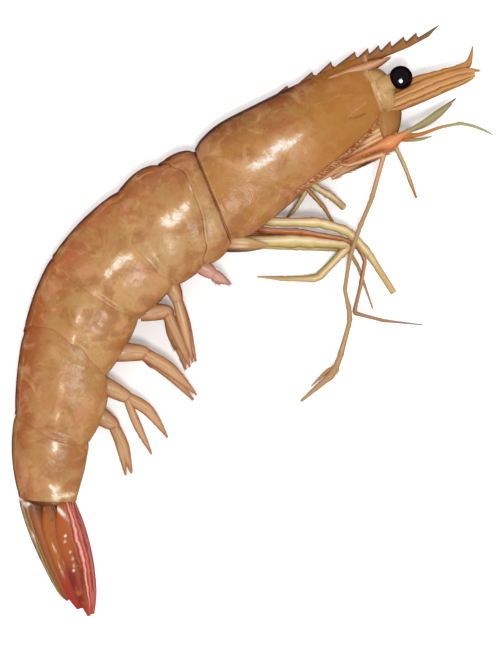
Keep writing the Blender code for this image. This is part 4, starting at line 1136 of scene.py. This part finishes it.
# hairs in a row along a line, each on its own point and tilted a little its own way
edge_hairs, given = new_group(
    "edge hairs", ("Spacing", "Float"), ("Width", "Float"), ("Seed", "Int"), ("Hair", "Material"))
line = add(edge_hairs, "GeometryNodeMeshToCurve", None, {"Mesh": given.outputs["Geometry"]})
line = add(edge_hairs, "GeometryNodeResampleCurve", {"mode": "LENGTH"}, {
    "Curve": line, "Length": given.outputs["Spacing"]})
aim = add(edge_hairs, "GeometryNodeInputNamedAttribute", {"data_type": "FLOAT_VECTOR"}, {"Name": "aim"})
wander = add(edge_hairs, "FunctionNodeRandomValue", {"data_type": "FLOAT_VECTOR"}, {
    "Min": (-0.32, -0.32, -0.25), "Max": (0.32, 0.32, 0.25), "Seed": given.outputs["Seed"]})
aim = add(edge_hairs, "ShaderNodeVectorMath", {"operation": "ADD"}, {0: aim, 1: wander})
aim = add(edge_hairs, "FunctionNodeAlignRotationToVector", {"axis": "Z"}, {"Vector": aim})
reach = add(edge_hairs, "GeometryNodeInputNamedAttribute", {"data_type": "FLOAT"}, {"Name": "long"})
share = add(edge_hairs, "FunctionNodeRandomValue", {"data_type": "FLOAT"}, {
    "Min": 0.5, "Max": 1.15, "Seed": given.outputs["Seed"]})
reach = add(edge_hairs, "ShaderNodeMath", {"operation": "MULTIPLY"}, {0: reach, 1: share})
size = add(edge_hairs, "ShaderNodeCombineXYZ", None, {"X": 1.0, "Y": 1.0, "Z": reach})
cone = add(edge_hairs, "GeometryNodeMeshCone", None, {
    "Vertices": 4, "Radius Top": 0.0, "Radius Bottom": given.outputs["Width"], "Depth": 1.0})
hairs = add(edge_hairs, "GeometryNodeInstanceOnPoints", None, {
    "Points": line, "Instance": cone, "Rotation": aim, "Scale": size})
end_group(edge_hairs, hairs, given.outputs["Hair"])


def bristle(name, root, tip):
    """Soft hairs of bare chitin, drawn out thin and clear by the animal, and wet.

    The eye sees a fine fringe that takes the pigment of the edge it stands on.
    """
    material, tree, shader, place = new_material(name)
    # tufts differ some 0.8 mm apart
    tufts = add(tree, "ShaderNodeTexNoise", None, {"Vector": place, "Scale": 1200.0, "Detail": 2.0})
    colour = add(tree, "ShaderNodeValToRGB", None, {"Fac": tufts}, [(0.35, root), (0.62, tip)])
    bump = add(tree, "ShaderNodeBump", None, {"Strength": 0.2, "Distance": 0.00005, "Height": tufts})
    plug(tree, shader, {"Base Color": colour, "Normal": bump, "Roughness": 0.45, "IOR": 1.30})
    return material


BOTH_EDGES = (("lower", -1), ("upper", 1))
EDGE_STEPS = 20


def leaf_edge(rows, side, start, end):
    """Points along one edge of a leaf, and the way that its hairs point."""
    spots, aims = [], []
    for i in range(EDGE_STEPS + 1):
        row, ahead, across = row_frame(rows, lerp(start, end, i / EDGE_STEPS) * (len(rows) - 1))
        across *= side
        spots.append(Vector(row[0:3]) + across * row[3] * 0.92)
        aims.append((across * 0.45 + ahead.normalized()).normalized())
    return spots, aims


def fringe(name, spots, aims, long, hair, slot, node, spacing=0.14, width=0.045):
    """A row of hairs on a line of points; long is a length in mm at each point."""
    hairs = grow(name, spots, {"aim": aims, "long": [float(value) * MM for value in long]}, edge_hairs, {
        "Spacing": spacing * MM, "Width": width * MM, "Seed": len(name), "Hair": hair})
    return finish_piece(hairs, hair, slot, node)


orange_hair = bristle("orange mouth hairs", "#853d0a", "#bb956f")
for edge_name, edge in BOTH_EDGES:
    spots, aims = leaf_edge(JAW_BUNDLE, edge, 0.04, 0.80)
    long = [1.0 + 1.2 * noise.noise(spot * 0.8) for spot in spots]
    fringe(f"jaw_hairs_{edge_name}", spots, aims, long, orange_hair, "mouthparts", "mouthparts", 0.11, 0.07)
for side_name, side in BOTH_SIDES:
    places = [lerp(0.10, 3.7, i / 40) for i in range(41)]
    spots = [trunk_point(chain_at(HEAD_SLICES, s), 0.5 - side * 0.112, HEAD_SHAPE, 0.15) for s in places]
    aims = [Vector((0.9 + 0.3 * noise.noise(spot * 0.6), -0.05, side * 0.10)) for spot in spots]
    fade = [smooth_step((3.9 - s) / 1.2) * smooth_step((s - 0.1) / 0.7) for s in places]
    long = [max(0.5, 2.4 + 2.4 * noise.noise(spot * 0.5)) * share for spot, share in zip(spots, fade)]
    fringe(f"shield_hairs_{side_name}", spots, aims, long, orange_hair, "carapace", "carapace", 0.19, 0.11)
    rows = FOOT_JAWS[side_name]
    for edge_name, edge in BOTH_EDGES:
        spots, aims = leaf_edge(rows, edge, 0.10, 0.62)
        fringe(
            f"foot_jaw_hairs_{side_name}_{edge_name}", spots, aims, [0.9] * len(spots), orange_hair,
            "maxillipeds", f"maxilliped_{side_name}")

# WALKING LEGS
# Five pairs of thin jointed legs hang from the head. Each is a tube of clear shell with pale flesh
# inside, a knuckle at every joint, and pigment along its edges; the long one ends in a pincer.

# the pale legs' cream band along the middle of each tube is partly the pale flesh seen through the shell and
# partly a painted highlight
pale_leg = streaked_shell(
    "raw shell of the pale legs",
    [(0.0, "#9a693a"), (0.12, "#a98556"), (0.28, "#bba079"), (0.46, "#c6b595"), (0.62, "#ab9c6c"),
     (0.84, "#9a884e"), (1.0, "#87582b")],
    "#99804f", (0.50, 0.95, 0.65), "#9e6538", (0.52, 0.70, 0.7), fine=2.2)
tan_leg = streaked_shell(
    "raw shell of the tan legs",
    [(0.0, "#743c11"), (0.2, "#936232"), (0.5, "#a17949"), (0.8, "#8a6232"), (1.0, "#6b360a")],
    "#8a7e5b", (0.66, 1.0, 0.8), "#7d380a", (0.48, 0.68, 0.7), fine=2.2)
front_leg = streaked_shell(
    "raw shell of the front legs",
    [(0.0, "#8c4f1f"), (0.2, "#a67348"), (0.5, "#b8946e"), (0.8, "#a9764b"), (1.0, "#854b20")],
    "#8c6e4a", (0.12, 0.36, 0.90), "#925629", (0.50, 0.70, 0.6), fine=2.2)
red_leg = streaked_shell(
    "raw shell of the red legs",
    [(0.0, "#925d39"), (0.2, "#a97c59"), (0.42, "#b38c6a"), (0.60, "#88481b"), (0.8, "#7e3d0f"),
     (1.0, "#73350a")],
    "#85603d", (0.40, 0.70, 0.8), "#854118", (0.46, 0.66, 0.8), fine=2.2, tail=("#67656a", 0.86, 1.0))
short_leg = streaked_shell(
    "raw shell of the short front leg",
    [(0.0, "#7e6039"), (0.2, "#997e56"), (0.5, "#a68f6a"), (0.8, "#927348"), (1.0, "#785629")],
    "#9f4f1f", (0.78, 0.98, 0.9), "#854f1e", (0.50, 0.70, 0.6), fine=2.2)
# each leg's shell, and its rows of x, y, height and radius
LEGS = {
    "leg_1_right": (short_leg, [
        (19.0, 38.4, 10.0, 0.5), (23.2, 38.0, 11.4, 0.5), (28.0, 39.8, 11.8, 0.52), (32.9, 40.3, 11.8, 0.55),
        (35.3, 35.8, 7.6, 0.50), (36.8, 32.2, 4.6, 0.48), (38.2, 28.9, 1.4, 0.28)]),
    "leg_1_left": (pale_leg, [
        (12.6, 32.6, 7.6, 0.7), (15.3, 30.7, 6.0, 0.8), (18.0, 29.3, 4.0, 0.9), (21.2, 26.7, 1.1, 0.85)]),
    "leg_2_right": (front_leg, [
        (18.0, 37.0, 11.0, 0.5), (22.0, 35.9, 13.7, 0.5), (26.0, 37.1, 14.8, 0.55), (30.2, 38.5, 14.8, 0.6),
        (27.4, 28.1, 11.2, 0.58), (24.7, 21.6, 9.0, 0.56), (22.4, 14.2, 6.8, 0.54), (21.4, 7.2, 4.7, 0.5),
        (22.5, 2.6, 3.3, 0.6), (22.6, -0.2, 2.8, 0.62), (20.3, -8.6, 1.7, 0.7), (18.7, -12.3, 1.5, 0.95),
        (11.2, -18.8, 0.9, 0.3)]),
    "leg_2_left": (tan_leg, [
        (11.6, 32.0, 7.6, 0.55), (14.0, 29.2, 6.0, 0.55), (16.5, 26.6, 3.2, 0.5), (18.7, 23.2, 0.9, 0.36)]),
    "leg_3_right": (pale_leg, [
        (0.6, 23.4, 9.8, 1.1), (5.8, 22.9, 11.6, 1.1), (15.5, 22.9, 8.8, 1.2), (22.3, 20.8, 6.4, 1.1),
        (26.9, 15.8, 4.4, 0.95), (32.9, 6.7, 1.0, 0.75)]),
    "leg_3_left": (pale_leg, [
        (13.0, 32.0, 7.4, 0.6), (11.6, 29.0, 5.6, 0.6), (9.8, 26.2, 3.0, 0.55), (7.9, 24.1, 1.1, 0.3)]),
    "leg_4_right": (red_leg, [
        (-1.2, 21.8, 9.6, 0.7), (3.8, 20.9, 11.2, 0.75), (10.9, 20.7, 8.8, 0.80), (21.3, 19.0, 4.7, 0.68),
        (24.6, 17.2, 4.0, 0.6), (26.2, 14.0, 3.3, 0.5), (25.2, 8.4, 2.2, 0.5), (23.7, 1.9, 1.1, 0.5),
        (30.6, 0.1, 0.6, 0.38), (39.9, -0.9, 0.4, 0.12)]),
    "leg_4_left": (front_leg, [
        (-4.2, 21.2, 8.0, 0.7), (0.8, 20.0, 6.4, 0.9), (12.0, 19.8, 4.0, 0.95), (21.3, 18.4, 0.9, 0.62),
        (24.6, 12.8, 0.7, 0.45), (28.1, 2.9, 0.5, 0.2)]),
    "leg_5_right": (pale_leg, [
        (-7.6, 18.8, 9.4, 1.1), (-3.0, 18.4, 11.0, 1.5), (10.9, 18.7, 7.6, 1.65), (22.6, 17.9, 3.6, 1.15),
        (15.1, 10.0, 1.4, 0.95), (7.4, 9.9, 1.0, 0.6), (0.9, 10.4, 0.6, 0.15)]),
    "leg_5_left": (pale_leg, [
        (-6.0, 19.2, 8.0, 0.6), (-1.2, 17.4, 6.6, 0.6), (10.9, 17.1, 2.9, 0.6), (20.4, 16.7, 0.8, 0.5),
        (21.4, 14.9, 0.7, 0.3)]),
}
PINCER_THUMB = [(18.9, -11.2, 1.5, 0.35), (17.4, -11.7, 1.3, 0.42), (13.6, -15.3, 1.1, 0.15)]
for name, (shell, rows) in LEGS.items():
    leg = limb(f"walking_{name}", rows, shell)
    finish_piece(leg, shell, "legs", name)
thumb = limb("pincer_thumb", PINCER_THUMB, tan_leg, sides=16, joints=())
finish_piece(thumb, tan_leg, "legs", "leg_2_right")

# SWIMMERETS
# Under each of the first five plates hangs a pair of swimming limbs: a fleshy stem with two flat
# blades of thin pinkish shell, edged with soft hairs.

# each pair as seen from above: its stem from root to knee, then the outer and the inner blade
SWIMMERETS = [
    ([(-10.9, 12.0), (-9.4, 11.0)], [(-9.4, 11.0), (-7.9, 10.1), (-5.3, 8.5)],
     [(-9.4, 11.0), (-8.8, 9.8), (-7.6, 8.6)]),
    ([(-18.4, 7.2), (-17.7, 5.2)], [(-17.7, 5.2), (-16.0, -1.0), (-14.0, -9.6)],
     [(-17.7, 5.2), (-17.1, 1.8), (-16.6, -2.0)]),
    ([(-23.4, 2.1), (-20.0, 2.2)], [(-20.0, 2.2), (-17.2, -3.8), (-14.7, -10.7)],
     [(-20.0, 2.2), (-18.9, -2.2), (-17.5, -6.4)]),
    ([(-29.4, -7.2), (-25.7, -7.3)], [(-25.7, -7.3), (-19.3, -11.2), (-13.1, -17.2)],
     [(-25.7, -7.3), (-23.4, -9.4), (-20.8, -10.6)]),
    ([(-33.2, -15.6), (-29.6, -17.5)], [(-29.6, -17.5), (-24.4, -20.8), (-19.9, -27.1)],
     [(-29.6, -17.5), (-26.8, -24.4), (-23.6, -31.0)]),
]
SWIMMERET_WIDTHS = [1.1, 1.1, 1.25, 1.35, 1.25]
# how far each pair's blades hang down, and how far the lower one of the pair is turned
SWIMMERET_DROOPS = [1.0, 1.3, 4.6, 3.6, 3.4]
LOWER_TURNS = [0.0, 0.04, -0.08, -0.08, 0.0]
LAST_LOWER_STEM = [(-34.5, -22.8), (-32.6, -24.2)]
LAST_LOWER_OUTER = [(-32.6, -24.2), (-30.3, -29.4), (-28.4, -35.6)]


def turned(points, pivot, angle):
    """Points in the table plane, turned about the pivot."""
    cos, sin = math.cos(angle), math.sin(angle)
    return [
        (pivot[0] + (x - pivot[0]) * cos - (y - pivot[1]) * sin,
         pivot[1] + (x - pivot[0]) * sin + (y - pivot[1]) * cos)
        for x, y in points
    ]


swim_skin = streaked_shell(
    "raw shell of the swimmerets",
    [(0.0, "#6e3718"), (0.08, "#88532f"), (0.20, "#996d47"), (0.38, "#a98864"), (0.48, "#9d7a55"),
     (0.60, "#a98766"), (0.80, "#95683f"), (0.92, "#885434"), (1.0, "#653015")],
    "#8c5140", (0.70, 1.0, 0.75), "#855a34", (0.44, 0.66, 0.7), fine=2.8)
first_swim_skin = streaked_shell(
    "raw shell of the first swimmerets",
    [(0.0, "#8e5d4b"), (0.2, "#a67665"), (0.5, "#ae8a78"), (0.8, "#a16f5f"), (1.0, "#804b3d")],
    "#886767", (0.70, 1.0, 0.8), "#8f5f4f", (0.44, 0.66, 0.7), fine=2.8)
swim_hair = bristle("pink swimmeret hairs", "#733d20", "#9f7856")
for index, (stem, outer, inner) in enumerate(SWIMMERETS):
    middle = PLATE_SLICES[index][1][5]
    width = SWIMMERET_WIDTHS[index]
    for side_name, side in BOTH_SIDES:
        start = middle + side * 2.1
        end = start - SWIMMERET_DROOPS[index]
        limbs = [stem, outer, inner]
        if side < 0:
            end = max(end, 0.9)
            limbs = [turned(points, stem[0], LOWER_TURNS[index]) for points in limbs]
            if index == 4:
                lower_inner = turned(LAST_LOWER_OUTER, LAST_LOWER_OUTER[0], -0.12)
                limbs = [LAST_LOWER_STEM, LAST_LOWER_OUTER, lower_inner]
        (root, knee_spot), (outer_root, outer_bend, outer_tip), (inner_root, inner_bend, inner_tip) = limbs
        knee = lerp(start, end, 0.2)
        inside = Vector(root) + (Vector(root) - Vector(knee_spot)).normalized() * 2.6
        cuff = Vector(knee_spot).lerp(Vector(outer_bend), 0.16)
        stem_rows = [
            (*inside, start, 1.7 * width, 0.8), (*root, start, 1.65 * width, 0.75),
            (*knee_spot, knee, 1.25 * width, 0.58), (*cuff, knee - 0.05, 0.85 * width, 0.35)]
        outer_rows = [
            (*outer_root, knee, 1.05 * width, 0.42), (*outer_bend, lerp(start, end, 0.6), 1.1 * width, 0.36),
            (*outer_tip, end, 0.16, 0.12)]
        inner_rows = [
            (*inner_root, knee, 0.62 * width, 0.40),
            (*inner_bend, lerp(start, end, 0.5) - 0.35, 0.78 * width, 0.32),
            (*inner_tip, lerp(start, end, 0.8) - 0.5, 0.14, 0.12)]
        node = f"swimmeret_{index + 1}_{side_name}"
        for part, rows in (("stem", stem_rows), ("outer", outer_rows), ("inner", inner_rows)):
            blade = leaf(f"{node}_{part}", rows, limb_rib, steps=48, sides=32)
            finish_piece(blade, swim_skin if index else first_swim_skin, "swimmerets", node)
            if part == "stem":
                continue
            down, down_aims = leaf_edge(rows, 1, 0.25, 0.99)
            back, back_aims = leaf_edge(rows, -1, 0.99, 0.25)
            last = 2 * EDGE_STEPS + 1
            long = [lerp(0.25, 1.0, min(i, last - i) / EDGE_STEPS) for i in range(last + 1)]
            fringe(
                f"swimmeret_hairs_{index + 1}_{side_name}_{part}", down + back, down_aims + back_aims,
                long, swim_hair, "swimmerets", node)

# STAGE
# A plain white table top under soft studio light: a soft box beside the lens, an even white surround
# with black flags low down that keep the edges dark, and a catch light that only the eyes take.

table_mesh = bpy.data.meshes.new("table")
table_mesh.from_pydata(
    [(-3, -3, -0.0002), (3, -3, -0.0002), (3, 3, -0.0002), (-3, 3, -0.0002)], [], [(0, 1, 2, 3)])
table = bpy.data.objects.new("table", table_mesh)
bpy.context.scene.collection.objects.link(table)
# laminate pressed with a matt face: an even white with no shine of its own
table_paint, tree, shader, place = new_material("white matt laminate")
plug(tree, shader, {"Base Color": linear("#f8f8f8"), "Roughness": 0.9})
table_mesh.materials.append(table_paint)
table.visible_glossy = False

world = bpy.data.worlds.new("white surround")
bpy.context.scene.world = world
world.use_nodes = True
sky = world.node_tree
way = add(sky, "ShaderNodeTexCoord").outputs["Generated"]
height = add(sky, "ShaderNodeSeparateXYZ", None, {"Vector": way}).outputs["Z"]
surround = add(sky, "ShaderNodeMapRange", None, {
    "Value": height, "From Min": -0.05, "From Max": 0.10, "To Min": 0.10, "To Max": 1.36})
plug(sky, sky.nodes["Background"], {"Color": (1.0, 1.0, 1.0, 1.0), "Strength": surround})

for name, place, size, power in (
    ("soft_box", (0.03, -0.16, 0.95), 0.15, 4.5), ("catch_light", (0.0, -0.72, 0.98), 0.80, 460.0),
):
    lamp = bpy.data.lights.new(name, "AREA")
    lamp.shape = "DISK"
    lamp.size = size
    lamp.energy = power
    holder = bpy.data.objects.new(name, lamp)
    holder.location = place
    holder.rotation_euler = (-Vector(place)).to_track_quat("-Z", "Y").to_euler()
    bpy.context.scene.collection.objects.link(holder)
# the last one is the catch light
holder.visible_diffuse = False
holder.light_linking.receiver_collection = eyes_lit

lens = bpy.data.cameras.new("camera")
lens.lens = 200.0
lens.sensor_width = 36.0
lens.clip_start = 0.01
lens.clip_end = 20.0
camera = bpy.data.objects.new("camera", lens)
camera.location = (-0.0007, -0.0022, 0.861)
bpy.context.scene.collection.objects.link(camera)
bpy.context.scene.camera = camera
bpy.context.scene.view_settings.view_transform = "Standard"
